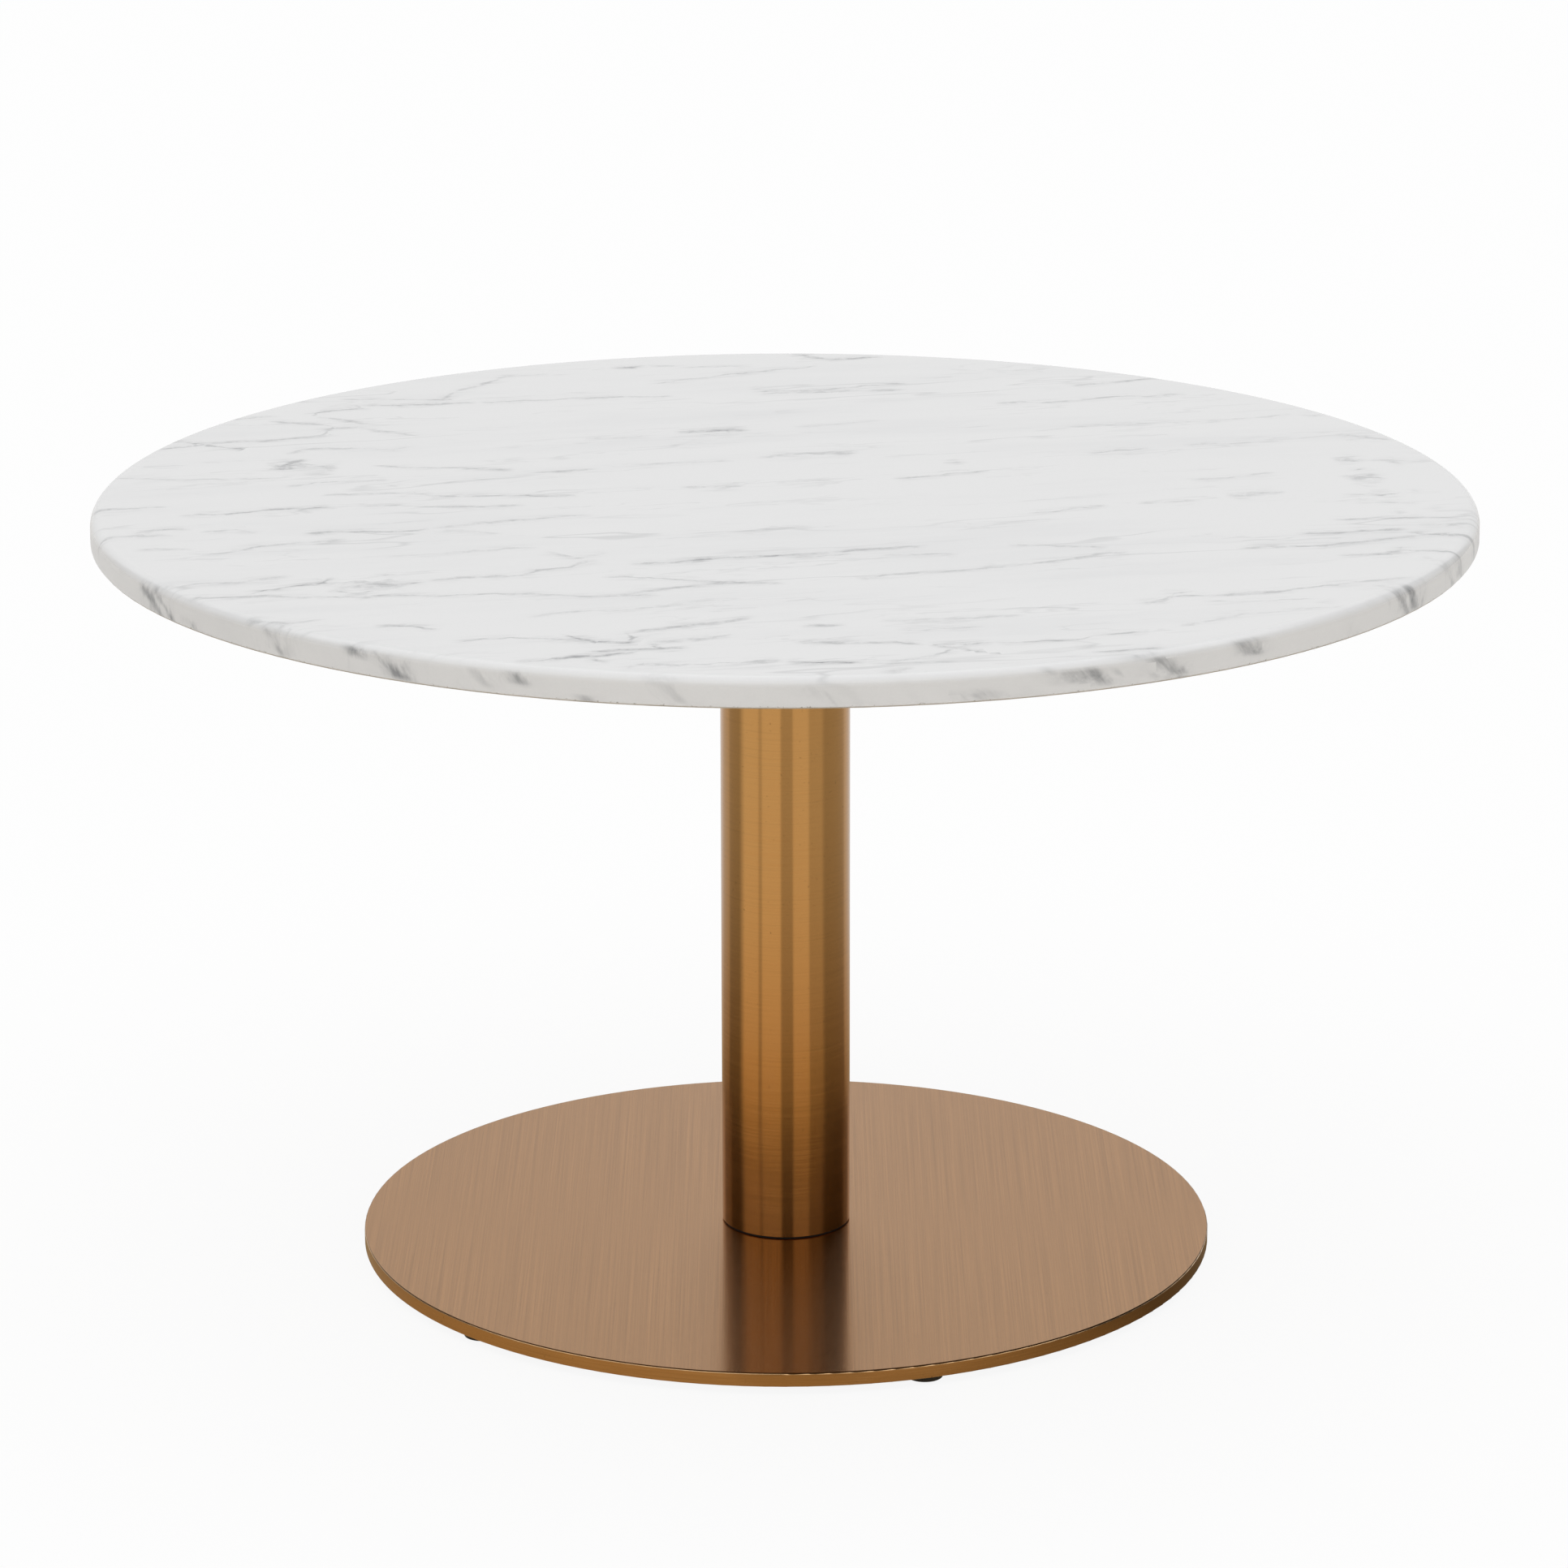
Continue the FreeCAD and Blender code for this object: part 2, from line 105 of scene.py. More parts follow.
class Graph:
    """A node tree with short calls that add nodes and join them."""

    def __init__(self, tree: bpy.types.NodeTree) -> None:
        """Empties the tree and keeps it."""
        tree.nodes.clear()
        self.tree = tree

    def add(self, kind: str, **settings: object) -> bpy.types.Node:
        """Adds a node.

        Args:
            kind: The node's type name.
            settings: Properties to set on the node.

        Returns:
            The new node.
        """
        node = self.tree.nodes.new(kind)
        for name, value in settings.items():
            setattr(node, name, value)
        return node

    def feed(self, socket: Socket, value: Feed) -> None:
        """Links a socket to an output, or sets it to a constant.

        Args:
            socket: The input to feed.
            value: An output socket, a number or a list of numbers.
        """
        if isinstance(value, bpy.types.NodeSocket):
            self.tree.links.new(value, socket)
        else:
            socket.default_value = value

    def maths(self, operation: str, first: Feed, second: Feed = 0.0, clamp: bool = False) -> Socket:
        """Adds a sum on plain numbers.

        Args:
            operation: Blender's name of the operation.
            first: The first number.
            second: The second number, where there is one.
            clamp: Whether the result is held between 0 and 1.

        Returns:
            The result.
        """
        node = self.add("ShaderNodeMath", operation=operation, use_clamp=clamp)
        self.feed(node.inputs[0], first)
        self.feed(node.inputs[1], second)
        return node.outputs[0]

    def vector(self, operation: str, first: Feed, second: Feed) -> Socket:
        """Adds a sum on vectors.

        Args:
            operation: Blender's name of the operation.
            first: The first vector.
            second: The second vector.

        Returns:
            The resulting vector.
        """
        node = self.add("ShaderNodeVectorMath", operation=operation)
        self.feed(node.inputs[0], first)
        self.feed(node.inputs[1], second)
        return node.outputs[0]

    def split(self, vector: Socket) -> tuple[Socket, Socket, Socket]:
        """Takes a vector apart.

        Args:
            vector: The vector.

        Returns:
            Its three numbers.
        """
        node = self.add("ShaderNodeSeparateXYZ")
        self.feed(node.inputs[0], vector)
        return node.outputs[0], node.outputs[1], node.outputs[2]

    def join(self, *numbers: Feed) -> Socket:
        """Makes a vector.

        Args:
            numbers: Its three numbers.

        Returns:
            The vector.
        """
        node = self.add("ShaderNodeCombineXYZ")
        for socket, number in zip(node.inputs, numbers):
            self.feed(socket, number)
        return node.outputs[0]

    def place(self) -> Socket:
        """Returns the point on the piece, in metres."""
        return self.add("ShaderNodeTexCoord").outputs["Object"]

    def away(self, place: Socket) -> Socket:
        """Measures how far a place is from the table's axis.

        Args:
            place: The place.

        Returns:
            The distance, in metres.
        """
        across, depth, _ = self.split(place)
        node = self.add("ShaderNodeVectorMath", operation="LENGTH")
        self.feed(node.inputs[0], self.join(across, depth, 0.0))
        return node.outputs["Value"]

    def compass(self, place: Socket) -> Socket:
        """Finds the way from the axis to a place.

        Args:
            place: The place.

        Returns:
            The way, as a share of a full turn that is 0.5 at the front.
        """
        across, depth, _ = self.split(place)
        turn = self.maths("ARCTAN2", across, self.maths("MULTIPLY", depth, -1.0))
        return self.remap(turn, -math.pi, math.pi, 0.0, 1.0, False)

    def noise(self, where: Socket, noise: Noise, colour: bool = False) -> Socket:
        """Adds a noise.

        Args:
            where: The coordinates that it is read at.
            noise: Its settings.
            colour: Whether three independent numbers are wanted.

        Returns:
            One number, or a colour of three.
        """
        node = self.add("ShaderNodeTexNoise", noise_dimensions="3D")
        self.feed(node.inputs["Vector"], where)
        node.inputs["Scale"].default_value = noise.scale
        node.inputs["Detail"].default_value = noise.detail
        node.inputs["Roughness"].default_value = noise.roughness
        return node.outputs[1] if colour else node.outputs[0]

    def pattern(self, where: Socket, noise: Noise, at_low: float = 0.0, at_high: float = 1.0,
                smooth: bool = True) -> Socket:
        """Adds a noise and maps the stretch of its values that counts to another range."""
        return self.remap(self.noise(where, noise), noise.low, noise.high, at_low, at_high, smooth)

    def remap(self, value: Feed, low: Feed, high: Feed, at_low: float = 0.0, at_high: float = 1.0,
              smooth: bool = True) -> Socket:
        """Maps a range of values to another range, and holds it at both ends.

        Args:
            value: The number to map.
            low: Where the range starts.
            high: Where the range ends.
            at_low: The result at the start.
            at_high: The result at the end.
            smooth: Whether the ends are eased.

        Returns:
            The mapped number.
        """
        kind = "SMOOTHSTEP" if smooth else "LINEAR"
        node = self.add("ShaderNodeMapRange", interpolation_type=kind, clamp=True)
        for socket, given in zip(node.inputs, (value, low, high, at_low, at_high)):
            self.feed(socket, given)
        return node.outputs[0]

    def mix(self, share: Feed, first: Feed, second: Feed, blend: str = "MIX") -> Socket:
        """Mixes two colours.

        Args:
            share: How much of the second colour shows.
            first: The first colour.
            second: The second colour.
            blend: Blender's name of the blend.

        Returns:
            The mixed colour.
        """
        node = self.add("ShaderNodeMix", data_type="RGBA", blend_type=blend)
        self.feed(node.inputs[0], share)
        for socket, given in ((node.inputs[6], first), (node.inputs[7], second)):
            self.feed(socket, (*given, 1.0) if isinstance(given, tuple) else given)
        return node.outputs[2]

    def ramp(self, value: Socket, stops: Sequence[tuple[float, float]]) -> Socket:
        """Reads a grey from a row of stops.

        Args:
            value: The place along the row, from 0 to 1.
            stops: Each stop's place and grey.

        Returns:
            The grey as a colour.
        """
        node = self.add("ShaderNodeValToRGB")
        self.feed(node.inputs[0], value)
        elements = node.color_ramp.elements
        while len(elements) < len(stops):
            elements.new(1.0)
        for element, (position, grey) in zip(elements, stops):
            element.position = position
            element.color = (grey, grey, grey, 1.0)
        return node.outputs[0]

    def bump(self, height: Socket, depth: float, strength: float) -> Socket:
        """Turns a height into a normal.

        Args:
            height: The height, from 0 to 1.
            depth: How deep a height of 1 is, in metres.
            strength: How much of the bump shows.

        Returns:
            The bent normal.
        """
        node = self.add("ShaderNodeBump")
        node.inputs["Strength"].default_value = strength
        node.inputs["Distance"].default_value = depth
        self.feed(node.inputs["Height"], height)
        return node.outputs[0]

    def surface(self, **inputs: Feed) -> None:
        """Ends a material with one surface shader.

        Args:
            inputs: The shader's inputs by name, with spaces written as underscores.
        """
        shader = self.add("ShaderNodeBsdfPrincipled")
        for name, value in inputs.items():
            socket = shader.inputs[name.replace("_", " ")]
            self.feed(socket, (*value, 1.0) if isinstance(value, tuple) and len(value) == 3 else value)
        self.end(shader.outputs[0])

    def blend(self, share: Socket, first: Socket, second: Socket) -> Socket:
        """Mixes two shaders.

        Args:
            share: How much of the second shader shows.
            first: The first shader.
            second: The second shader.

        Returns:
            The mixed shader.
        """
        node = self.add("ShaderNodeMixShader")
        for socket, given in zip(node.inputs, (share, first, second)):
            self.feed(socket, given)
        return node.outputs[0]

    def end(self, shader: Socket, output: str = "ShaderNodeOutputMaterial") -> None:
        """Joins a shader to the tree's output."""
        self.feed(self.add(output).inputs["Surface"], shader)


@dataclass(frozen=True)
class Finish:
    """One material of the table, named after its slot in the record."""

    slot: str

    def paint(self, graph: Graph) -> None:
        """Draws the finish's nodes."""
        raise NotImplementedError

    def material(self) -> bpy.types.Material:
        """Makes the finish's material, once.

        Returns:
            The material.
        """
        made = bpy.data.materials.get(f"{self.slot}_finish")
        if made is None:
            made = bpy.data.materials.new(f"{self.slot}_finish")
            made.use_nodes = True
            self.paint(Graph(made.node_tree))
        return made


@dataclass(frozen=True)
class Threads:
    """A layer of thin random veins: how close they lie, how thin and how dark they are."""

    scale: float
    thin: float
    share: float


@dataclass(frozen=True)
class Marble(Finish):
    """White polished marble with broken grey veins, honed on the edge.

    The veins are sheets that slope across the top, in degrees, and lean through the slab. Their lines bend
    and jag, swell and break, and a soft fibrous shade lies beside them.
    """

    field_colour: Colour = (0.80, 0.80, 0.80)
    cloud_colour: Colour = (0.66, 0.665, 0.675)
    vein_colour: Colour = (0.20, 0.205, 0.215)
    chip_colour: Colour = (0.30, 0.27, 0.22)
    side_tint: Colour = (1.0, 0.972, 0.93)
    polished: float = 0.07
    honed: float = 0.34
    ior: float = 1.5
    slope: float = 13.0
    lean: float = 0.9
    sheet: float = 0.25
    drawn_out: float = 0.2
    vein_width: float = 2.8 * MM
    halo_width: float = 11.0 * MM
    end_fade: Span = (-3.0 * MM, 9.0 * MM)
    bends: Noise = Noise(42.0, 2.0, 0.5, 0.2, 0.8)
    bend_reach: float = 3.5 * MM
    jags: Noise = Noise(190.0, 2.0, 0.6, 0.2, 0.8)
    jag_reach: float = 0.8 * MM
    swell: Noise = Noise(90.0, 3.0, 0.65, 0.34, 0.72)
    swell_share: Span = (0.45, 2.1)
    breaks: Noise = Noise(70.0, 4.0, 0.7, 0.36, 0.64)
    break_share: float = 0.15
    fibres: Noise = Noise(150.0, 4.0, 0.68, 0.44, 0.68)
    fibre_share: float = 0.08
    line_share: float = 0.60
    halo_share: float = 0.36
    layers: tuple[Threads, Threads] = (Threads(21.0, 0.020, 0.24), Threads(52.0, 0.035, 0.15))
    thread_bends: Noise = Noise(0.9, 3.0, 0.6)
    thread_ridges: Noise = Noise(1.0, 3.0)
    thread_patches: Noise = Noise(0.8, 3.0, 0.5, 0.50, 0.66)
    stray: float = 0.03
    clouds: Noise = Noise(15.0, 5.0, 0.62, 0.45, 0.76)
    cloud_share: float = 0.38
    grain: Noise = Noise(900.0)
    grain_share: float = 0.10
    grain_gloss: Span = (-0.015, 0.02)
    chips: Noise = Noise(420.0, 3.0, 0.7, 0.60, 0.66)
    chip_height: float = 1.6 * MM
    relief: float = 0.05 * MM
    bump: float = 0.12
    top_height: float = SLAB_HIGH.z
    under_height: float = SLAB_LOW.z
    side_depth: Span = (0.8 * MM, 5.5 * MM)
    side_share: float = 0.3

    def leaning(self, graph: Graph, place: Socket) -> Socket:
        """Returns coordinates that follow the veins' sheets, which lean through the slab.

        Args:
            graph: The material's nodes.
            place: The point on the slab.

        Returns:
            The leaning coordinates, drawn out down the sheets.
        """
        across, depth, height = graph.split(place)
        down = graph.maths("MULTIPLY", graph.maths("SUBTRACT", height, self.top_height), self.lean)
        drawn = graph.maths("MULTIPLY", height, self.sheet)
        return graph.join(graph.maths("ADD", across, down), depth, drawn)

    def strands(self, graph: Graph, leaning: Socket) -> Socket:
        """Returns coordinates drawn out along the run of the veins.

        Args:
            graph: The material's nodes.
            leaning: Coordinates that follow the veins' sheets.

        Returns:
            The drawn-out coordinates.
        """
        turned = graph.add("ShaderNodeVectorRotate", rotation_type="Z_AXIS")
        graph.feed(turned.inputs["Vector"], leaning)
        turned.inputs["Angle"].default_value = math.radians(-self.slope)
        return graph.vector("MULTIPLY", turned.outputs[0], (self.drawn_out, 1.0, 1.0))

    def threads(self, graph: Graph, strands: Socket, layer: Threads) -> Socket:
        """Draws one layer of thin random veins, in patches.

        Args:
            graph: The material's nodes.
            strands: Coordinates drawn out along the veins.
            layer: The layer.

        Returns:
            How much the veins darken the stone.
        """
        bend = graph.noise(strands, self.thread_bends.times(layer.scale), True)
        bend = graph.vector("MULTIPLY", bend, (self.stray, self.stray, self.stray))
        ridge = graph.noise(graph.vector("ADD", strands, bend), self.thread_ridges.times(layer.scale))
        away = graph.maths("ABSOLUTE", graph.maths("SUBTRACT", ridge, NOISE_MIDDLE))
        patches = graph.pattern(strands, self.thread_patches.times(layer.scale))
        line = graph.maths("MULTIPLY", graph.remap(away, 0.0, layer.thin, 1.0, 0.0), patches)
        return graph.maths("MULTIPLY", line, layer.share)

    def vein(self, graph: Graph, layer: str, wander: Socket, width: Socket) -> tuple[Socket, Socket]:
        """Draws the veins of one layer of the mesh.

        Args:
            graph: The material's nodes.
            layer: The mesh attribute that says where the nearest vein is.
            wander: How far the line strays to the side, in metres.
            width: The line's half width, in metres.

        Returns:
            The line and the soft shade beside it, from 0 to 1.
        """
        attribute = graph.add("ShaderNodeAttribute", attribute_name=layer)
        strength = graph.add("ShaderNodeAttribute", attribute_name=f"{layer}_strength").outputs["Fac"]
        aside, start, end = graph.split(attribute.outputs["Vector"])
        away = graph.maths("ABSOLUTE", graph.maths("ADD", aside, wander))
        inside = graph.remap(graph.maths("MINIMUM", start, end), *self.end_fade)
        drawn = graph.maths("MULTIPLY", strength, inside)
        line = graph.maths("MULTIPLY", graph.remap(away, 0.0, width, 1.0, 0.0), drawn)
        halo = graph.maths("MULTIPLY", graph.remap(away, 0.0, self.halo_width, 1.0, 0.0), drawn)
        return line, halo

    def marks(self, graph: Graph, leaning: Socket, strands: Socket, calm: Socket) -> tuple[Socket, Socket]:
        """Draws all the veins, placed and random.

        Args:
            graph: The material's nodes.
            leaning: Coordinates that follow the veins' sheets.
            strands: Coordinates drawn out along the veins.
            calm: How much of the bends and of the random veins is left.

        Returns:
            How dark the veins make the stone, and the placed lines alone, from 0 to 1.
        """
        bends = graph.pattern(leaning, self.bends, -self.bend_reach, self.bend_reach, False)
        jags = graph.pattern(leaning, self.jags, -self.jag_reach, self.jag_reach, False)
        wander = graph.maths("MULTIPLY", graph.maths("ADD", bends, jags), calm)
        thin, thick = (share * self.vein_width for share in self.swell_share)
        width = graph.pattern(strands, self.swell, thin, thick)
        lines, halos = zip(*(self.vein(graph, layer, wander, width) for layer in VEIN_LAYERS))
        broken = graph.pattern(leaning, self.breaks, self.break_share)
        line = graph.maths("MULTIPLY", graph.maths("MAXIMUM", *lines), broken)
        fibres = graph.pattern(strands, self.fibres, self.fibre_share)
        halo = graph.maths("MULTIPLY", graph.maths("MAXIMUM", *halos), fibres)
        coarse, fine = (self.threads(graph, strands, layer) for layer in self.layers)
        shade = graph.maths("MULTIPLY", graph.maths("ADD", coarse, fine), calm)
        shade = graph.maths("ADD", shade, graph.maths("MULTIPLY", halo, self.halo_share))
        shade = graph.maths("ADD", shade, graph.maths("MULTIPLY", line, self.line_share), True)
        return shade, line

    def paint(self, graph: Graph) -> None:
        """Draws the stone: clouds, veins, chips along the lower edge and the polish.

        Args:
            graph: The material's nodes.
        """
        place = graph.place()
        height = graph.split(place)[2]
        leaning = self.leaning(graph, place)
        strands = self.strands(graph, leaning)
        upper, lower = (self.top_height - depth for depth in self.side_depth)
        side = graph.remap(height, lower, upper, 1.0, 0.0)
        calm = graph.remap(side, 0.0, 1.0, 1.0, self.side_share, False)
        shade, line = self.marks(graph, leaning, strands, calm)
        cloud = graph.pattern(strands, self.clouds, 0.0, self.cloud_share)
        stone = graph.mix(cloud, self.field_colour, self.cloud_colour)
        grain = graph.noise(place, self.grain)
        sprinkle = graph.remap(grain, self.grain.low, self.grain.high, 0.0, self.grain_share)
        stone = graph.mix(sprinkle, stone, self.cloud_colour)
        stone = graph.mix(shade, stone, self.vein_colour)
        stone = graph.mix(side, stone, self.side_tint, "MULTIPLY")
        low_edge = graph.remap(height, self.under_height, self.under_height + self.chip_height, 1.0, 0.0)
        chips = graph.maths("MULTIPLY", low_edge, graph.pattern(place, self.chips))
        stone = graph.mix(chips, stone, self.chip_colour)
        gloss = graph.maths("ADD", graph.remap(side, 0.0, 1.0, self.polished, self.honed, False),
                            graph.remap(grain, self.grain.low, self.grain.high, *self.grain_gloss, False))
        relief = graph.maths("ADD", graph.maths("MULTIPLY", grain, side), line)
        normal = graph.bump(relief, self.relief, self.bump)
        graph.surface(Base_Color=stone, Roughness=gloss, IOR=self.ior, Normal=normal)


@dataclass(frozen=True)
class BrushedBronze(Finish):
    """Bronze-coloured metal with fine hairlines, across which it spreads its mirror image.

    A sheet's cut edge is found by its distance from the axis, and is darkened: partly the raw edge's own
    colour, partly painted shade of the gap under the sheet. A painted highlight along a band's lip is found
    by its height. An edge left at a metre lies past every piece, and doesn't show.
    """

    colour: Colour = (0.475, 0.247, 0.080)
    grain: Grain = Grain.AROUND
    gloss: float = 0.165
    haze: float = 0.22
    stretch: float = 1.0
    fine: float = 1700.0
    broad: float = 900.0
    hair_detail: float = 2.0
    hair_roughness: float = 0.6
    fine_share: float = 0.7
    hair_span: Span = (0.34, 0.66)
    lines: float = 0.075
    dull_span: Span = (0.45, 0.95)
    speckle: Optional[Noise] = None
    run: float = 0.012
    depth: float = 0.006 * MM
    bump: float = 0.25
    pits: Noise = Noise(640.0, 2.0, 0.5, 0.70, 0.75)
    pit_share: float = 0.55
    pit_tone: float = 0.35
    # The sheet's edge is darkened: its raw cut edge's own colour and painted shade of the gap under it.
    cut_edge: float = 1.0
    cut_edge_shade_reach: Span = (0.22 * MM, 0.14 * MM)
    cut_edge_shade_colour: Colour = (0.08, 0.042, 0.017)
    # Painted highlight along a band's rounded lip, lighter than the metal.
    painted_highlight_edge: float = 1.0
    painted_highlight_reach: Span = (0.50 * MM, 0.30 * MM)
    painted_highlight_colour: Colour = (0.70, 0.46, 0.25)

    def tone(self, share: float) -> Colour:
        """Returns the metal's colour, made lighter or darker by a share."""
        red, green, blue = (min(1.0, part * share) for part in self.colour)
        return red, green, blue

    def edged(self, graph: Graph, metal: Socket, place: Socket) -> Socket:
        """Adds a sheet's dark cut edge, partly painted gap shade, and a painted highlight along a band's
        lip.

        Args:
            graph: The material's nodes.
            metal: The metal's colour.
            place: The point on the piece.

        Returns:
            The metal's colour with its edges.
        """
        # Darkens the sheet near its cut edge: the raw edge's own colour and painted shade of the gap under
        # it.
        start, end = (self.cut_edge - reach for reach in self.cut_edge_shade_reach)
        metal = graph.mix(graph.remap(graph.away(place), start, end), metal, self.cut_edge_shade_colour)
        # Paints a highlight along the band's lip, where the rounded edge catches the light from above.
        start, end = (self.painted_highlight_edge - reach for reach in self.painted_highlight_reach)
        return graph.mix(graph.remap(graph.split(place)[2], start, end), metal, self.painted_highlight_colour)

    def paint(self, graph: Graph) -> None:
        """Draws the hairlines, a duller speckle, a few tiny pits and the edges.

        Args:
            graph: The material's nodes.
        """
        place = graph.place()
        if self.grain is Grain.AROUND:
            across, axis, turn = (self.run, self.run, 1.0), "Z", QUARTER_TURN
        else:
            across, axis, turn = (1.0, self.run, self.run), "Y", 0.0
        strokes = graph.vector("MULTIPLY", place, across)
        fine, broad = (graph.noise(strokes, Noise(scale, self.hair_detail, self.hair_roughness))
                       for scale in (self.fine, self.broad))
        hair = graph.maths("ADD", graph.maths("MULTIPLY", fine, self.fine_share),
                           graph.maths("MULTIPLY", broad, 1.0 - self.fine_share))
        hair = graph.remap(hair, *self.hair_span, 0.0, 1.0, False)
        metal = graph.mix(hair, self.tone(1.0 - self.lines), self.tone(1.0 + self.lines))
        pits = graph.pattern(place, self.pits, 0.0, self.pit_share)
        metal = graph.mix(pits, metal, self.tone(self.pit_tone))
        metal = self.edged(graph, metal, place)
        dull = graph.noise(place, self.speckle) if self.speckle else hair
        gloss = graph.remap(dull, *self.dull_span, self.gloss, self.haze)
        normal = graph.bump(hair, self.depth, self.bump)
        tangent = graph.add("ShaderNodeTangent", direction_type="RADIAL", axis=axis).outputs[0]
        graph.surface(Base_Color=metal, Metallic=1.0, Roughness=gloss, Normal=normal, Tangent=tangent,
                      Anisotropic=self.stretch, Anisotropic_Rotation=turn)


@dataclass(frozen=True)
class PlainMetal(Finish):
    """A plated, turned or welded metal with fine mottling."""

    colour: Colour = (0.55, 0.55, 0.54)
    shade: Colour = (0.36, 0.36, 0.36)
    shade_span: Span = (0.38, 0.66)
    gloss: float = 0.34
    spread: Span = (-0.06, 0.10)
    mottle: Noise = Noise(240.0, 4.0, 0.6)
    grit: Noise = Noise(720.0)
    relief: float = 0.04 * MM
    bump: float = 0.2

    def paint(self, graph: Graph) -> None:
        """Draws the mottled metal.

        Args:
            graph: The material's nodes.
        """
        place = graph.place()
        patches = graph.noise(place, self.mottle)
        metal = graph.mix(graph.remap(patches, *self.shade_span), self.colour, self.shade)
        least, most = (self.gloss + change for change in self.spread)
        gloss = graph.remap(patches, self.mottle.low, self.mottle.high, least, most, False)
        normal = graph.bump(graph.noise(place, self.grit), self.relief, self.bump)
        graph.surface(Base_Color=metal, Metallic=1.0, Roughness=gloss, Normal=normal)


@dataclass(frozen=True)
class Coating(Finish):
    """A painted, moulded or glued-on surface with a fine texture."""

    colour: Colour = (0.02, 0.02, 0.02)
    shade: Colour = (0.03, 0.03, 0.03)
    gloss: float = 0.45
    spread: Span = (-0.05, 0.12)
    pebble: Noise = Noise(1400.0, 3.0, 0.55)
    patch: Noise = Noise(84.0, 3.0, 0.6, 0.35, 0.65)
    depth: float = 0.06 * MM
    bump: float = 0.35

    def paint(self, graph: Graph) -> None:
        """Draws the coating's texture and its slight change of tone.

        Args:
            graph: The material's nodes.
        """
        place = graph.place()
        pebbles = graph.noise(place, self.pebble)
        tone = graph.mix(graph.pattern(place, self.patch), self.colour, self.shade)
        least, most = (self.gloss + change for change in self.spread)
        gloss = graph.remap(pebbles, self.pebble.low, self.pebble.high, least, most, False)
        normal = graph.bump(pebbles, self.depth, self.bump)
        graph.surface(Base_Color=tone, Roughness=gloss, Normal=normal)


MARBLE = Marble("marble")
COLUMN_BRONZE = BrushedBronze("column_bronze")
# The cover's edge is darkened, partly with painted shade of the gap under it.
COVER_BRONZE = BrushedBronze("cover_bronze", colour=(0.455, 0.243, 0.103), grain=Grain.FRONT_TO_BACK,
                             gloss=0.10, haze=0.50, stretch=0.8, lines=0.15, dull_span=(0.585, 0.635),
                             speckle=Noise(60000.0, 0.0), fine=1500.0, broad=600.0, run=0.003,
                             depth=0.001 * MM, cut_edge=COVER_RADIUS)
# The rim band carries a painted highlight along its top lip.
RIM_BRONZE = BrushedBronze("rim_bronze", colour=(0.43, 0.26, 0.115), gloss=0.16, haze=0.24, lines=0.10,
                           fine=2600.0, broad=700.0, painted_highlight_edge=BAND_TOP)
BACKING_FILM = Coating("backing_film", colour=(0.54, 0.47, 0.38), shade=(0.45, 0.39, 0.31), gloss=0.6)
BLACK_STEEL = Coating("black_steel", colour=(0.018, 0.018, 0.019), shade=(0.028, 0.028, 0.028))
GASKET_RUBBER = Coating("gasket_rubber", colour=(0.010, 0.010, 0.010), shade=(0.016, 0.016, 0.016),
                        gloss=0.7)
GLIDE_PLASTIC = Coating("glide_plastic", colour=(0.014, 0.014, 0.015), shade=(0.022, 0.022, 0.022),
                        gloss=0.5)
ZINC_STEEL = PlainMetal("zinc_steel", colour=(0.58, 0.59, 0.60), shade=(0.44, 0.45, 0.47), gloss=0.30)
WELD_STEEL = PlainMetal("weld_steel", colour=(0.30, 0.29, 0.28), shade=(0.17, 0.15, 0.14), gloss=0.46)
BRASS_INSERTS = PlainMetal("brass_inserts", colour=(0.72, 0.52, 0.22), shade=(0.60, 0.42, 0.16), gloss=0.28)


def dress(node: str, finish: Finish) -> bpy.types.Object:
    """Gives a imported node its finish.

    Args:
        node: The node's name.
        finish: The finish that it gets.

    Returns:
        The node's object.
    """
    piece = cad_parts[node]
    piece.data.materials.clear()
    piece.data.materials.append(finish.material())
    return piece


def put(name: str, data: bpy.types.ID) -> bpy.types.Object:
    """Makes an object and puts it in the scene.

    Args:
        name: The object's name.
        data: Its mesh, lamp or camera.

    Returns:
        The new object.
    """
    made = bpy.data.objects.new(name, data)
    bpy.context.scene.collection.objects.link(made)
    return made


@dataclass(frozen=True)
class Vein:
    """One vein of the stone: a broken line across the top, in millimetres from the middle.

    It is as many times wider than others as broad says. It runs down through the slab, and shows between
    two depths below the top.
    """

    weight: VeinWeight
    points: tuple[Point, ...]
    broad: float = 1.0
    upper: float = -9.0
    lower: float = 99.0


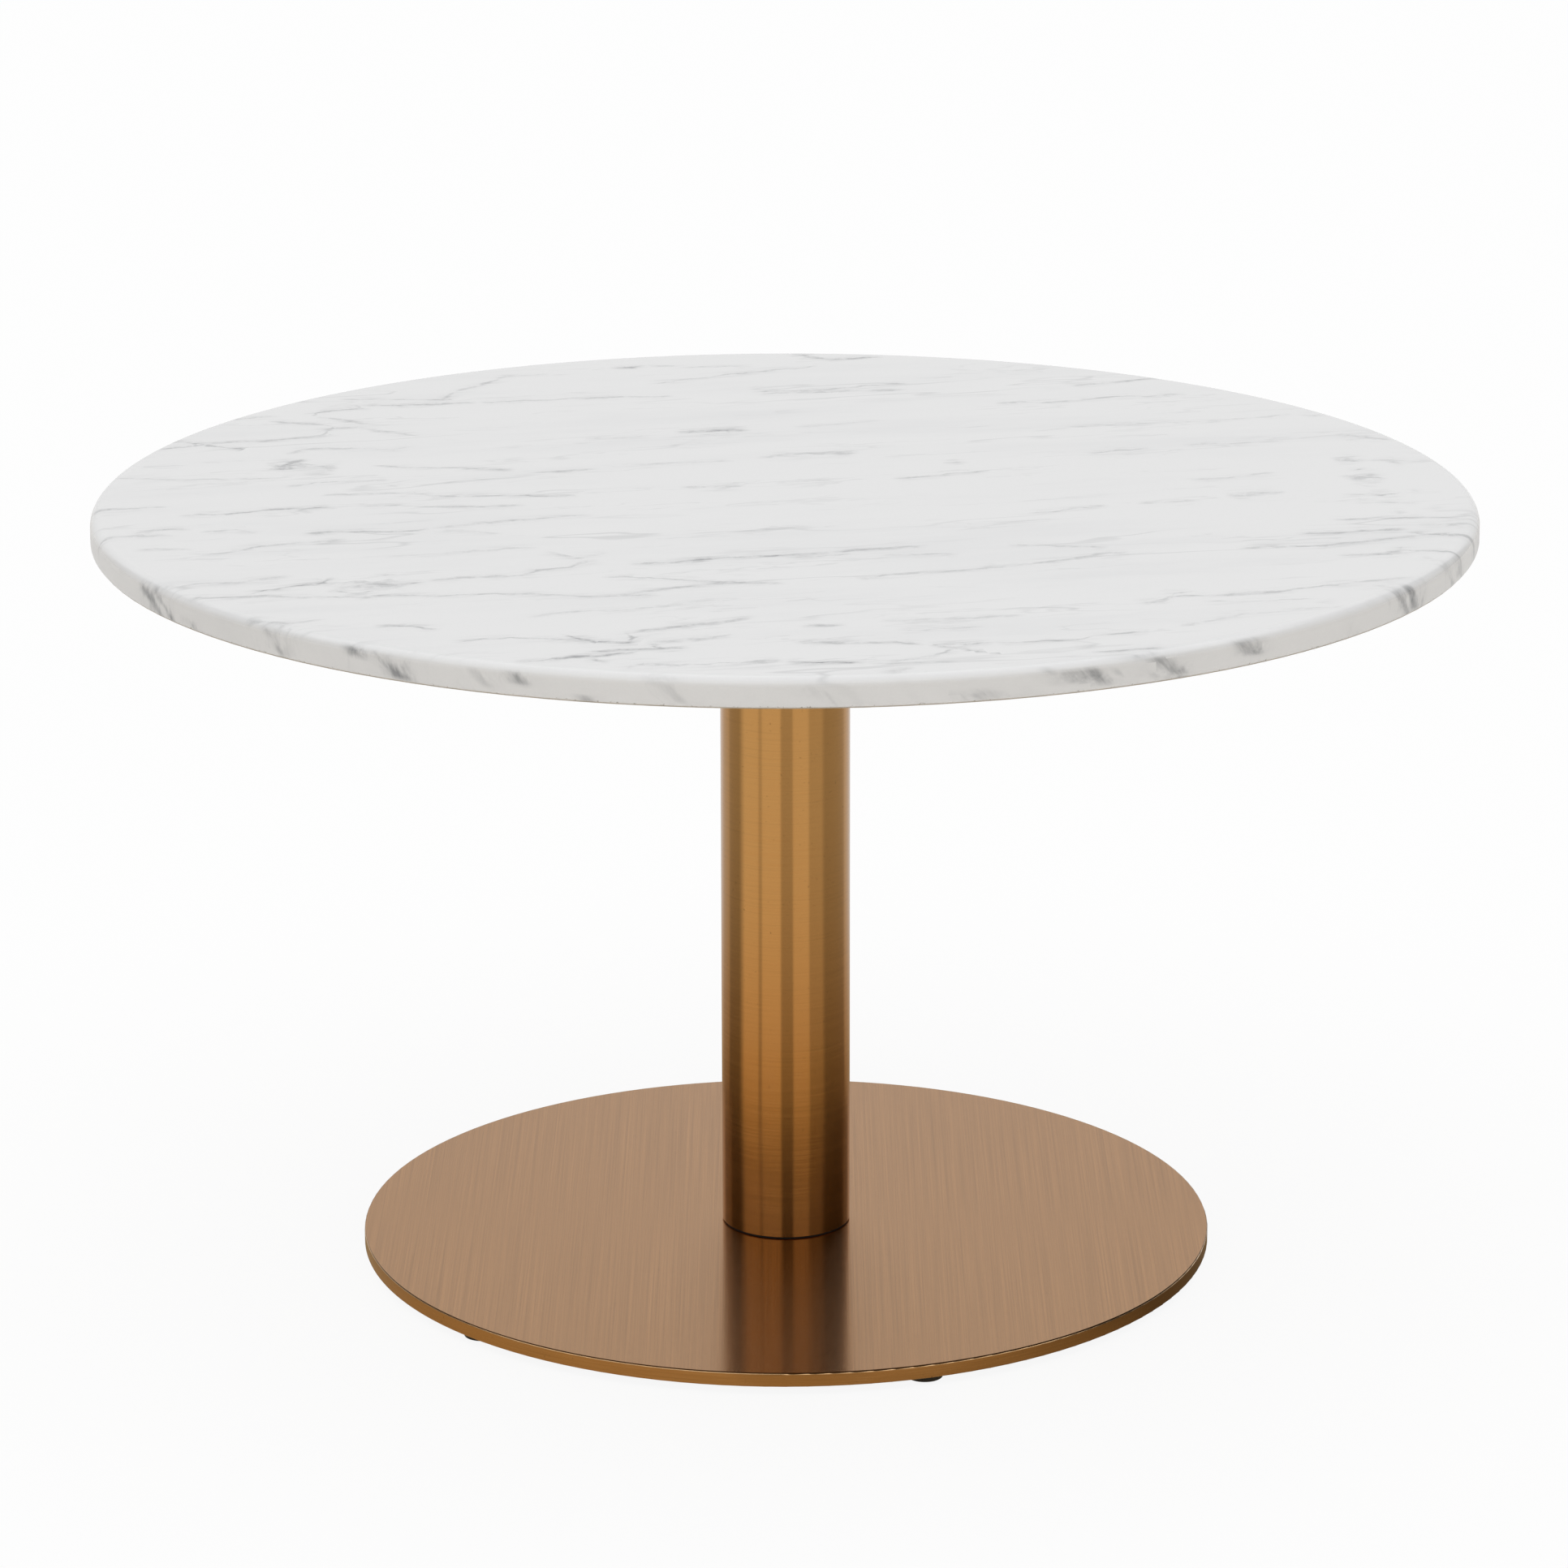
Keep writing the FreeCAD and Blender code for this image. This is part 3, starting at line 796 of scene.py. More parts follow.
BOLD, PLAIN, FAINT = VeinWeight.BOLD, VeinWeight.PLAIN, VeinWeight.FAINT
VEINS = (
    Vein(BOLD, ((-272, -86), (-250, -84), (-222, -83), (-200, -76))),
    Vein(PLAIN, ((-200, -76), (-185, -68), (-148, -54), (-110, -42))),
    Vein(FAINT, ((-200, -80), (-185, -82), (-160, -87))),
    Vein(PLAIN, ((-395, -105), (-365, -91), (-345, -92))),
    Vein(PLAIN, ((-368, -86), (-355, -78), (-338, -73))),
    Vein(PLAIN, ((-330, -83), (-312, -77), (-298, -85))),
    Vein(PLAIN, ((-333, -135), (-310, -128), (-298, -116), (-275, -110), (-245, -102))),
    Vein(FAINT, ((-362, -128), (-352, -121), (-330, -125))),
    Vein(FAINT, ((-225, -141), (-200, -138), (-172, -126), (-138, -118))),
    Vein(PLAIN, ((-345, -206), (-300, -198), (-285, -192), (-272, -184))),
    Vein(BOLD, ((-292, -226), (-283, -215), (-268, -208), (-255, -200), (-247, -188))),
    Vein(BOLD, ((-248, -216), (-232, -221), (-218, -218)), 1.5),
    Vein(PLAIN, ((-246, -207), (-206, -203)), 4.0),
    Vein(BOLD, ((-234, -200), (-215, -203), (-196, -197))),
    Vein(BOLD, ((-225, -184), (-214, -183))),
    Vein(PLAIN, ((-196, -197), (-180, -189), (-145, -183), (-135, -172), (-120, -165), (-103, -150))),
    Vein(FAINT, ((-113, -150), (-117, -146), (-98, -133))),
    Vein(PLAIN, ((-325, -232), (-290, -230), (-250, -231), (-190, -227), (-140, -225), (-103, -230),
                 (-68, -230))),
    Vein(PLAIN, ((-84, -228), (-75, -219), (-60, -212), (-32, -200), (0, -203))),
    Vein(PLAIN, ((-100, -188), (-85, -186), (-62, -193), (-32, -200))),
    Vein(BOLD, ((-85, -159), (-60, -153), (-40, -146), (0, -139), (25, -132))),
    Vein(PLAIN, ((0, -146), (25, -138), (40, -136))),
    Vein(PLAIN, ((25, -132), (55, -121), (80, -118))),
    Vein(FAINT, ((-137, -275), (-125, -266), (-82, -259), (-60, -247), (-35, -234))),
    Vein(BOLD, ((-218, -292), (-200, -294), (-184, -297))),
    Vein(FAINT, ((-290, -300), (-245, -278))),
    Vein(PLAIN, ((-175, -329), (-160, -320), (-146, -318), (-108, -322))),
    Vein(BOLD, ((-118, -310), (-102, -327), (-84, -327), (-78, -317), (-85, -305))),
    Vein(BOLD, ((-104, -343), (-82, -342), (-64, -340), (-72, -328))),
    Vein(PLAIN, ((-72, -328), (-48, -322), (-28, -310))),
    Vein(PLAIN, ((-80, -310), (-62, -298), (-45, -290), (-15, -276))),
    Vein(BOLD, ((-140, -367), (-118, -358), (-95, -353), (-76, -345))),
    Vein(BOLD, ((-102, -358), (-94, -370))),
    Vein(PLAIN, ((-86, -382), (-75, -374), (-35, -370), (0, -367))),
    Vein(BOLD, ((0, -367), (20, -369), (42, -369))),
    Vein(FAINT, ((42, -369), (90, -369))),
    Vein(PLAIN, ((43, -190), (60, -185), (75, -179), (105, -171), (127, -165), (143, -155), (192, -132))),
    Vein(BOLD, ((40, -190), (47, -189))),
    Vein(PLAIN, ((55, -139), (75, -138), (97, -136))),
    Vein(PLAIN, ((125, -117), (145, -117), (180, -122))),
    Vein(PLAIN, ((8, -295), (32, -292))),
    Vein(FAINT, ((52, -283), (75, -282), (95, -278), (128, -274))),
    Vein(PLAIN, ((60, -303), (85, -300), (105, -298))),
    Vein(PLAIN, ((5, -327), (30, -329), (57, -327), (75, -333))),
    Vein(BOLD, ((72, -333), (90, -332), (110, -329))),
    Vein(PLAIN, ((110, -329), (130, -328), (155, -323), (170, -315), (193, -305))),
    Vein(PLAIN, ((75, -333), (91, -340), (78, -354), (55, -370))),
    Vein(PLAIN, ((50, -390), (66, -378))),
    Vein(BOLD, ((208, -236), (213, -227), (222, -221))),
    Vein(PLAIN, ((192, -249), (208, -233), (240, -230), (265, -223), (295, -209), (345, -192))),
    Vein(FAINT, ((225, -243), (265, -241), (288, -237))),
    Vein(BOLD, ((210, -294), (221, -289))),
    Vein(FAINT, ((221, -289), (245, -270), (262, -266), (300, -252))),
    Vein(PLAIN, ((153, -340), (165, -333))),
    Vein(PLAIN, ((160, -349), (200, -340))),
    Vein(PLAIN, ((253, -127), (270, -121), (300, -121), (322, -111), (358, -97))),
    Vein(PLAIN, ((308, -142), (335, -140), (345, -129), (385, -134))),
    Vein(PLAIN, ((288, -93), (320, -87), (352, -80))),
    Vein(BOLD, ((321, -85), (332, -82)), 1.4),
    Vein(BOLD, ((352, -90), (372, -91), (395, -104))),
    Vein(PLAIN, ((312, -57), (335, -55), (350, -53), (366, -52))),
    Vein(FAINT, ((366, -54), (398, -60))),
    Vein(FAINT, ((360, -70), (385, -69), (396, -66))),
    Vein(BOLD, ((375, -74), (384, -68)), 1.3),
    Vein(PLAIN, ((347, -41), (356, -40)), 1.3),
    Vein(FAINT, ((340, -17), (366, -16))),
    Vein(FAINT, ((366, -32), (380, -28))),
    Vein(PLAIN, ((329, -9), (341, -11)), 1.3),
    Vein(FAINT, ((322, 4), (340, 1))),
    Vein(BOLD, ((338, 0), (347, 4), (356, 9)), 1.3),
    Vein(PLAIN, ((362, 14), (370, 14))),
    Vein(FAINT, ((333, 33), (345, 22))),
    Vein(BOLD, ((330, 41), (340, 47), (352, 45)), 2.4),
    Vein(PLAIN, ((336, 56), (347, 52)), 2.0),
    Vein(PLAIN, ((334, 63), (343, 70)), 1.4),
    Vein(BOLD, ((356, 86), (365, 86)), 1.6),
    Vein(BOLD, ((326, 96), (336, 93), (344, 89)), 1.7),
    Vein(FAINT, ((344, 89), (362, 90), (386, 91))),
    Vein(FAINT, ((331, 104), (338, 102))),
    Vein(PLAIN, ((333, 158), (345, 151), (353, 148), (366, 146)), 1.3),
    Vein(FAINT, ((336, 143), (345, 141))),
    Vein(PLAIN, ((316, 211), (331, 213)), 1.4),
    Vein(PLAIN, ((287, -244), (298, -246)), 1.2),
    Vein(BOLD, ((-345, -45), (-325, -40), (-300, -32), (-278, -27), (-262, -20))),
    Vein(PLAIN, ((-402, -32), (-372, -26), (-355, -20))),
    Vein(PLAIN, ((-245, -20), (-215, -22), (-195, -23), (-150, -21))),
    Vein(PLAIN, ((-290, 27), (-275, 36), (-250, 40), (-232, 45))),
    Vein(PLAIN, ((-232, 34), (-227, 26))),
    Vein(FAINT, ((-402, 50), (-340, 46), (-300, 47))),
    Vein(PLAIN, ((-268, 7), (-245, 9), (-213, 11), (-205, 5), (-170, 4), (-120, 2))),
    Vein(BOLD, ((-302, 77), (-292, 86), (-288, 100)), 1.6),
    Vein(BOLD, ((-306, 80), (-280, 78), (-264, 76)), 3.0),
    Vein(PLAIN, ((-243, 82), (-225, 78), (-200, 75), (-160, 70))),
    Vein(PLAIN, ((-298, 112), (-288, 124), (-275, 128), (-235, 123), (-222, 132))),
    Vein(BOLD, ((-380, 150), (-350, 137), (-385, 116))),
    Vein(PLAIN, ((-350, 138), (-322, 145), (-300, 150), (-280, 163), (-275, 180), (-258, 186))),
    Vein(PLAIN, ((-258, 186), (-248, 176), (-232, 165), (-220, 158))),
    Vein(PLAIN, ((-315, 200), (-290, 193), (-272, 184))),
    Vein(PLAIN, ((-355, 202), (-330, 207), (-310, 213))),
    Vein(BOLD, ((-262, 245), (-263, 236), (-285, 222), (-288, 214))),
    Vein(PLAIN, ((-288, 214), (-270, 203), (-248, 191))),
    Vein(BOLD, ((-262, 245), (-235, 245), (-212, 247), (-190, 253))),
    Vein(PLAIN, ((-190, 253), (-155, 257), (-110, 266), (-70, 268))),
    Vein(PLAIN, ((-275, 262), (-240, 260), (-212, 260), (-206, 276), (-196, 294), (-175, 325),
                 (-150, 333))),
    Vein(BOLD, ((-110, 352), (-98, 352), (-88, 358))),
    Vein(FAINT, ((-88, 358), (-55, 355), (-20, 354))),
    Vein(PLAIN, ((-85, 306), (-65, 313), (-45, 326), (-5, 345), (12, 350), (20, 357))),
    Vein(BOLD, ((5, 400), (15, 382), (30, 377), (62, 381))),
    Vein(PLAIN, ((-20, 283), (0, 283), (20, 285), (45, 292), (75, 306))),
    Vein(PLAIN, ((-18, 275), (5, 280), (30, 280), (75, 288))),
    Vein(PLAIN, ((180, 295), (200, 306), (240, 320))),
    Vein(PLAIN, ((-150, 60), (-110, 72))),
    Vein(FAINT, ((-92, 82), (-30, 92))),
    Vein(PLAIN, ((-14, 98), (10, 108), (44, 114)), 1.4),
    Vein(FAINT, ((-120, 150), (-80, 158))),
    Vein(BOLD, ((-64, 164), (-38, 172), (-22, 176)), 2.2),
    Vein(FAINT, ((6, 182), (60, 198))),
    Vein(PLAIN, ((-60, 22), (-24, 29)), 1.4),
    Vein(FAINT, ((-6, 34), (30, 42))),
    Vein(PLAIN, ((64, 46), (92, 54), (120, 66))),
    Vein(PLAIN, ((140, -40), (185, -22))),
    Vein(FAINT, ((204, -18), (240, -10))),
    Vein(PLAIN, ((256, 0), (290, 12)), 1.6),
    Vein(PLAIN, ((130, 245), (170, 252), (215, 266), (250, 270))),
    Vein(PLAIN, ((180, 110), (218, 124)), 1.5),
    Vein(FAINT, ((240, 130), (300, 142))),
    Vein(FAINT, ((150, 170), (200, 188), (260, 196), (310, 215))),
    Vein(FAINT, ((235, 40), (290, 58))),
    Vein(BOLD, ((94, 86), (108, 90))),
    Vein(BOLD, ((-50, 160), (-38, 164))),
    Vein(PLAIN, ((-292, -276), (-276, -282), (-260, -288))),
    Vein(BOLD, ((-359, -182), (-352, -220)), 1.2, 0.5, 16.0),
    Vein(BOLD, ((-346, -198), (-347, -228)), 1.2, 0.5, 16.0),
    Vein(PLAIN, ((-336, -222), (-332, -248)), 1.2, 11.0, 15.5),
    Vein(PLAIN, ((-279, -282), (-281, -306)), 1.5, 2.0, 15.0),
    Vein(BOLD, ((-237, -322), (-223, -336)), 1.8, 2.0, 7.0),
    Vein(BOLD, ((-222, -332), (-206, -356)), 1.8, 2.5, 15.0),
    Vein(FAINT, ((-165, -358), (-166, -378)), 1.5, 4.0, 13.0),
    Vein(BOLD, ((-148, -366), (-144, -386)), 2.2, 3.5, 9.5),
    Vein(PLAIN, ((-118, -378), (-115, -394)), 1.4, 13.0, 16.0),
    Vein(FAINT, ((-78, -393), (-54, -397)), 1.4, -1.0, 3.0),
    Vein(FAINT, ((-67, -386), (-65, -406)), 1.6, 3.0, 14.0),
    Vein(FAINT, ((8, -390), (9, -410)), 1.5, 3.5, 12.0),
    Vein(FAINT, ((13, -390), (14, -410)), 1.2, 7.0, 15.0),
    Vein(FAINT, ((80, -379), (81, -399)), 1.2, 12.5, 15.0),
    Vein(BOLD, ((91, -376), (94, -396)), 3.2, 10.0, 15.5),
    Vein(FAINT, ((134, -366), (136, -386)), 1.5, 2.0, 5.0),
    Vein(BOLD, ((149, -358), (152, -380)), 3.0, 4.0, 11.0),
    Vein(BOLD, ((154, -352), (157, -376)), 3.2, 4.0, 13.5),
    Vein(FAINT, ((166, -350), (168, -370)), 1.4, 6.0, 10.0),
    Vein(PLAIN, ((181, -342), (184, -360)), 1.6, 11.0, 13.5),
    Vein(PLAIN, ((174, -361), (196, -347)), 1.0, -1.0, 2.5),
    Vein(BOLD, ((188, -357), (200, -332)), 2.2, 3.0, 14.0),
    Vein(BOLD, ((237, -325), (243, -302)), 1.8, 2.5, 11.0),
    Vein(BOLD, ((337, -230), (322, -205)), 1.8, 0.5, 16.0),
    Vein(BOLD, ((343, -220), (328, -194)), 2.4, 1.0, 15.0),
    Vein(PLAIN, ((312, -244), (322, -250)), 1.4, -1.0, 3.0),
    Vein(BOLD, ((370, -172), (354, -143)), 1.3, 0.5, 15.5),
    Vein(PLAIN, ((374, -152), (361, -130)), 2.2, 2.0, 13.0),
)


class RingMesh:
    """A closed turned mesh that is built ring by ring, with fewer points in the rings near the middle."""

    def __init__(self) -> None:
        """Starts with no rings."""
        self.mesh = bmesh.new()
        self.last: list[bmesh.types.BMVert] = []

    def ring(self, radius: float, height: float, count: int) -> None:
        """Adds a ring and joins it to the one before.

        Args:
            radius: The ring's radius, or 0 for a single point on the axis.
            height: Its height.
            count: Its number of points: as many as the last ring, half, twice or one.
        """
        made = []
        for step in range(count):
            turn = math.tau * step / count
            made.append(self.mesh.verts.new((radius * math.sin(turn), -radius * math.cos(turn), height)))
        if self.last:
            self.join(self.last, made)
        self.last = made

    def join(self, first: list[bmesh.types.BMVert], second: list[bmesh.types.BMVert]) -> None:
        """Fills the strip between two rings.

        Args:
            first: The earlier ring.
            second: The later ring.
        """
        more, fewer = (first, second) if len(first) >= len(second) else (second, first)
        many, few = len(more), len(fewer)
        for step in range(few if many == 2 * few else many):
            if few == 1:
                self.mesh.faces.new((more[step], more[(step + 1) % many], fewer[0]))
            elif many == few:
                after = (step + 1) % many
                self.mesh.faces.new((more[step], more[after], fewer[after], fewer[step]))
            else:
                left, middle, right = more[2 * step], more[2 * step + 1], more[(2 * step + 2) % many]
                near, far = fewer[step], fewer[(step + 1) % few]
                self.mesh.faces.new((left, middle, near))
                self.mesh.faces.new((middle, far, near))
                self.mesh.faces.new((middle, right, far))

    def piece(self, name: str) -> bpy.types.Object:
        """Closes the mesh and puts it in the scene.

        Args:
            name: The piece's name.

        Returns:
            The new piece, shaded smooth.
        """
        bmesh.ops.recalc_face_normals(self.mesh, faces=self.mesh.faces[:])
        for face in self.mesh.faces:
            face.smooth = True
        data = bpy.data.meshes.new(name)
        self.mesh.to_mesh(data)
        self.mesh.free()
        return put(name, data)


def arc(middle: Point, radius: float, start: float, end: float, steps: int) -> list[Point]:
    """Returns points along an arc of a turned outline.

    Args:
        middle: The arc's middle, as radius and height.
        radius: The arc's own radius.
        start: The angle of its first point above the horizontal, in degrees.
        end: The angle of its last point.
        steps: How many steps it has.

    Returns:
        The points, both ends among them.
    """
    turns = [math.radians(start + (end - start) * step / steps) for step in range(steps + 1)]
    return [(middle[0] + radius * math.cos(turn), middle[1] + radius * math.sin(turn)) for turn in turns]


class VeinRuns:
    """The straight runs of all the veins, and where they lie from a place on the slab."""

    def __init__(self, veins: Sequence[Vein], fade: float) -> None:
        """Cuts the veins into straight runs.

        Args:
            veins: The veins.
            fade: The depth over which a vein's upper and lower ends fade, in millimetres.
        """
        starts, ends, before, after, owners = [], [], [], [], []
        for number, vein in enumerate(veins):
            line = np.array(vein.points, float) * MM
            spans = np.linalg.norm(np.diff(line, axis=0), axis=1)
            starts.extend(line[:-1])
            ends.extend(line[1:])
            before.extend(spans[:step].sum() for step in range(len(spans)))
            after.extend(spans[step + 1:].sum() for step in range(len(spans)))
            owners.extend([number] * len(spans))
        self.veins = veins
        self.fade = fade
        self.before = before
        self.after = after
        self.owners = np.array(owners)
        self.starts = np.array(starts)
        steps = np.array(ends) - self.starts
        self.spans = np.linalg.norm(steps, axis=1)
        self.ways = steps / self.spans[:, None]

    def nearest(self, place: np.ndarray) -> tuple[int, int]:
        """Finds the nearest runs.

        Args:
            place: The place on the slab.

        Returns:
            The nearest run, and the nearest of another vein.
        """
        reach = np.clip(((place - self.starts) * self.ways).sum(axis=1), 0.0, self.spans)
        gaps = np.linalg.norm(place - self.starts - self.ways * reach[:, None], axis=1)
        first = int(gaps.argmin())
        other = int(np.where(self.owners == self.owners[first], np.inf, gaps).argmin())
        return first, other

    def rows(self, run: int, corners: np.ndarray, depths: np.ndarray) -> np.ndarray:
        """Measures a face's corners from one run.

        Args:
            run: The run.
            corners: The corners' places.
            depths: The corners' depths below the top, in millimetres.

        Returns:
            Each corner's way to the side, its ways from the vein's start and to its end, and the strength.
        """
        vein = self.veins[self.owners[run]]
        away = corners - self.starts[run]
        way = self.ways[run]
        along = away @ way
        aside = (away[:, 0] * way[1] - away[:, 1] * way[0]) / vein.broad
        shown = np.clip(0.5 + np.minimum(depths - vein.upper, vein.lower - depths) / self.fade, 0.0, 1.0)
        to_end = self.after[run] + self.spans[run] - along
        return np.stack((aside, self.before[run] + along, to_end, vein.weight.value * shown), axis=1)


@dataclass
class MarbleTop:
    """The round slab, the film under it and the threaded inserts in its underside."""

    radius: float = SLAB_HIGH.x
    under: float = SLAB_LOW.z
    thickness: float = SLAB_HIGH.z - SLAB_LOW.z
    shoulder: float = 7.0 * MM
    shoulder_steps: int = 12
    upright_steps: int = 5
    arris: float = 1.0 * MM
    arris_steps: int = 4
    around: int = 384
    fewest: int = 12
    ring_step: float = 6.5 * MM
    crowded: float = 0.55
    flat_inset: float = 0.5 * MM
    under_rings: tuple[float, ...] = (0.995, 0.75, 0.5, 0.25)
    fade: float = 2.5
    veins: Sequence[Vein] = field(default=VEINS)

    def outline(self) -> list[Point]:
        """Draws the slab's edge from the top's flat to the underside's flat.

        Returns:
            The edge's points, as radius and height.
        """
        top = self.under + self.thickness
        middle = (self.radius - self.shoulder, top - self.shoulder)
        edge = arc(middle, self.shoulder, 90.0, 0.0, self.shoulder_steps)
        upright = self.thickness - self.shoulder - self.arris
        for step in range(1, self.upright_steps):
            edge.append((self.radius, top - self.shoulder - step / self.upright_steps * upright))
        middle = (self.radius - self.arris, self.under + self.arris)
        return edge + arc(middle, self.arris, 0.0, -90.0, self.arris_steps)

    def slab(self) -> bpy.types.Object:
        """Builds the slab, with rings close enough to carry its veins.

        Returns:
            The slab, riding on the table in place of its solid.
        """
        mesh = RingMesh()
        top = self.under + self.thickness
        flat = self.radius - self.shoulder - self.flat_inset
        mesh.ring(0.0, top, 1)
        rings = round(flat / self.ring_step)
        for step in range(1, rings + 1):
            radius = flat * step / rings
            count = self.around
            while count > self.fewest and math.tau * radius / count < self.crowded * self.ring_step:
                count //= 2
            mesh.ring(radius, top, count)
        for radius, height in self.outline():
            mesh.ring(radius, height, self.around)
        for share in self.under_rings:
            mesh.ring(share * (self.radius - self.arris), self.under, self.around)
        mesh.ring(0.0, self.under, 1)
        slab = mesh.piece("marble_slab")
        self.draw_veins(slab.data)
        slab.data.materials.append(MARBLE.material())
        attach(slab, TABLE_BODY)
        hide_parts("marble_top")
        return slab

    def draw_veins(self, mesh: bpy.types.Mesh) -> None:
        """Writes on each face where its two nearest veins run, for the finish to draw.

        Args:
            mesh: The slab's mesh.
        """
        runs = VeinRuns(self.veins, self.fade)
        places = np.empty(3 * len(mesh.vertices))
        mesh.vertices.foreach_get("co", places)
        places = places.reshape(-1, 3)
        top = self.under + self.thickness
        flat = places[:, :2].copy()
        flat[:, 0] += MARBLE.lean * (places[:, 2] - top)
        depths = (top - places[:, 2]) / MM
        layers = {name: np.zeros((len(mesh.loops), 4)) for name in VEIN_LAYERS}
        for face in mesh.polygons:
            points = list(face.vertices)
            loops = slice(face.loop_start, face.loop_start + face.loop_total)
            for rows, run in zip(layers.values(), runs.nearest(flat[points].mean(axis=0))):
                rows[loops] = runs.rows(run, flat[points], depths[points])
        for layer, rows in layers.items():
            line = mesh.attributes.new(layer, "FLOAT_VECTOR", "CORNER")
            line.data.foreach_set("vector", rows[:, :3].astype(np.float32).ravel())
            strength = mesh.attributes.new(f"{layer}_strength", "FLOAT", "CORNER")
            strength.data.foreach_set("value", rows[:, 3].astype(np.float32))

    def build(self) -> list[bpy.types.Object]:
        """Builds the slab and dresses what is fixed to it."""
        return [self.slab(), dress("slab_backing", BACKING_FILM), dress("top_inserts", BRASS_INSERTS)]


@dataclass
class TopFixing:
    """The steel plate under the slab and the screws that hold slab, plate and column together."""

    plate: str = "top_plate"
    fasteners: tuple[str, ...] = ("top_screw_washers", "top_screws", "top_flange_screws")

    def build(self) -> list[bpy.types.Object]:
        """Dresses the plate and its fasteners."""
        return [dress(self.plate, BLACK_STEEL), *(dress(node, ZINC_STEEL) for node in self.fasteners)]


@dataclass
class Column:
    """The brushed tube, the flanges welded in its ends and the gasket under its foot."""

    tube: str = "column_tube"
    flanges: tuple[str, ...] = ("column_top_flange", "column_foot_flange")
    gasket: str = "column_gasket"

    def build(self) -> list[bpy.types.Object]:
        """Dresses the tube, its flanges and the gasket."""
        ends = [dress(node, WELD_STEEL) for node in self.flanges]
        return [dress(self.tube, COLUMN_BRONZE), *ends, dress(self.gasket, GASKET_RUBBER)]


@dataclass
class Base:
    """The steel base plate, the bronze cover and rim band on it, and the screws into the column."""

    plate: str = "base_plate"
    cover: str = "base_cover"
    band: str = "base_rim_band"
    screws: str = "base_screws"

    def build(self) -> list[bpy.types.Object]:
        """Dresses the base."""
        return [dress(self.plate, BLACK_STEEL), dress(self.cover, COVER_BRONZE),
                dress(self.band, RIM_BRONZE), dress(self.screws, ZINC_STEEL)]


@dataclass
class Glides:
    """The five levelling feet: a pad to turn by hand and the stud that it turns."""

    count: int = 5

    def build(self) -> list[bpy.types.Object]:
        """Dresses the pads and studs.

        Returns:
            The dressed pieces.
        """
        made = []
        for number in range(1, self.count + 1):
            made.append(dress(f"glide_{number}_pad", GLIDE_PLASTIC))
            made.append(dress(f"glide_{number}_stud", ZINC_STEEL))
        return made


@dataclass(frozen=True)
class Panel:
    """A stretch of the studio's wall and of the floor before it, with their greys.

    It ends at an angle from the front, in degrees, with an edge that is soft for some degrees to each side.
    """

    end: float
    wall: float
    floor: float
    soft: float = 1.5

    def edge(self) -> Span:
        """Returns where its soft edge starts and ends on the compass."""
        return (self.end - self.soft + 180.0) / 360.0, (self.end + self.soft + 180.0) / 360.0


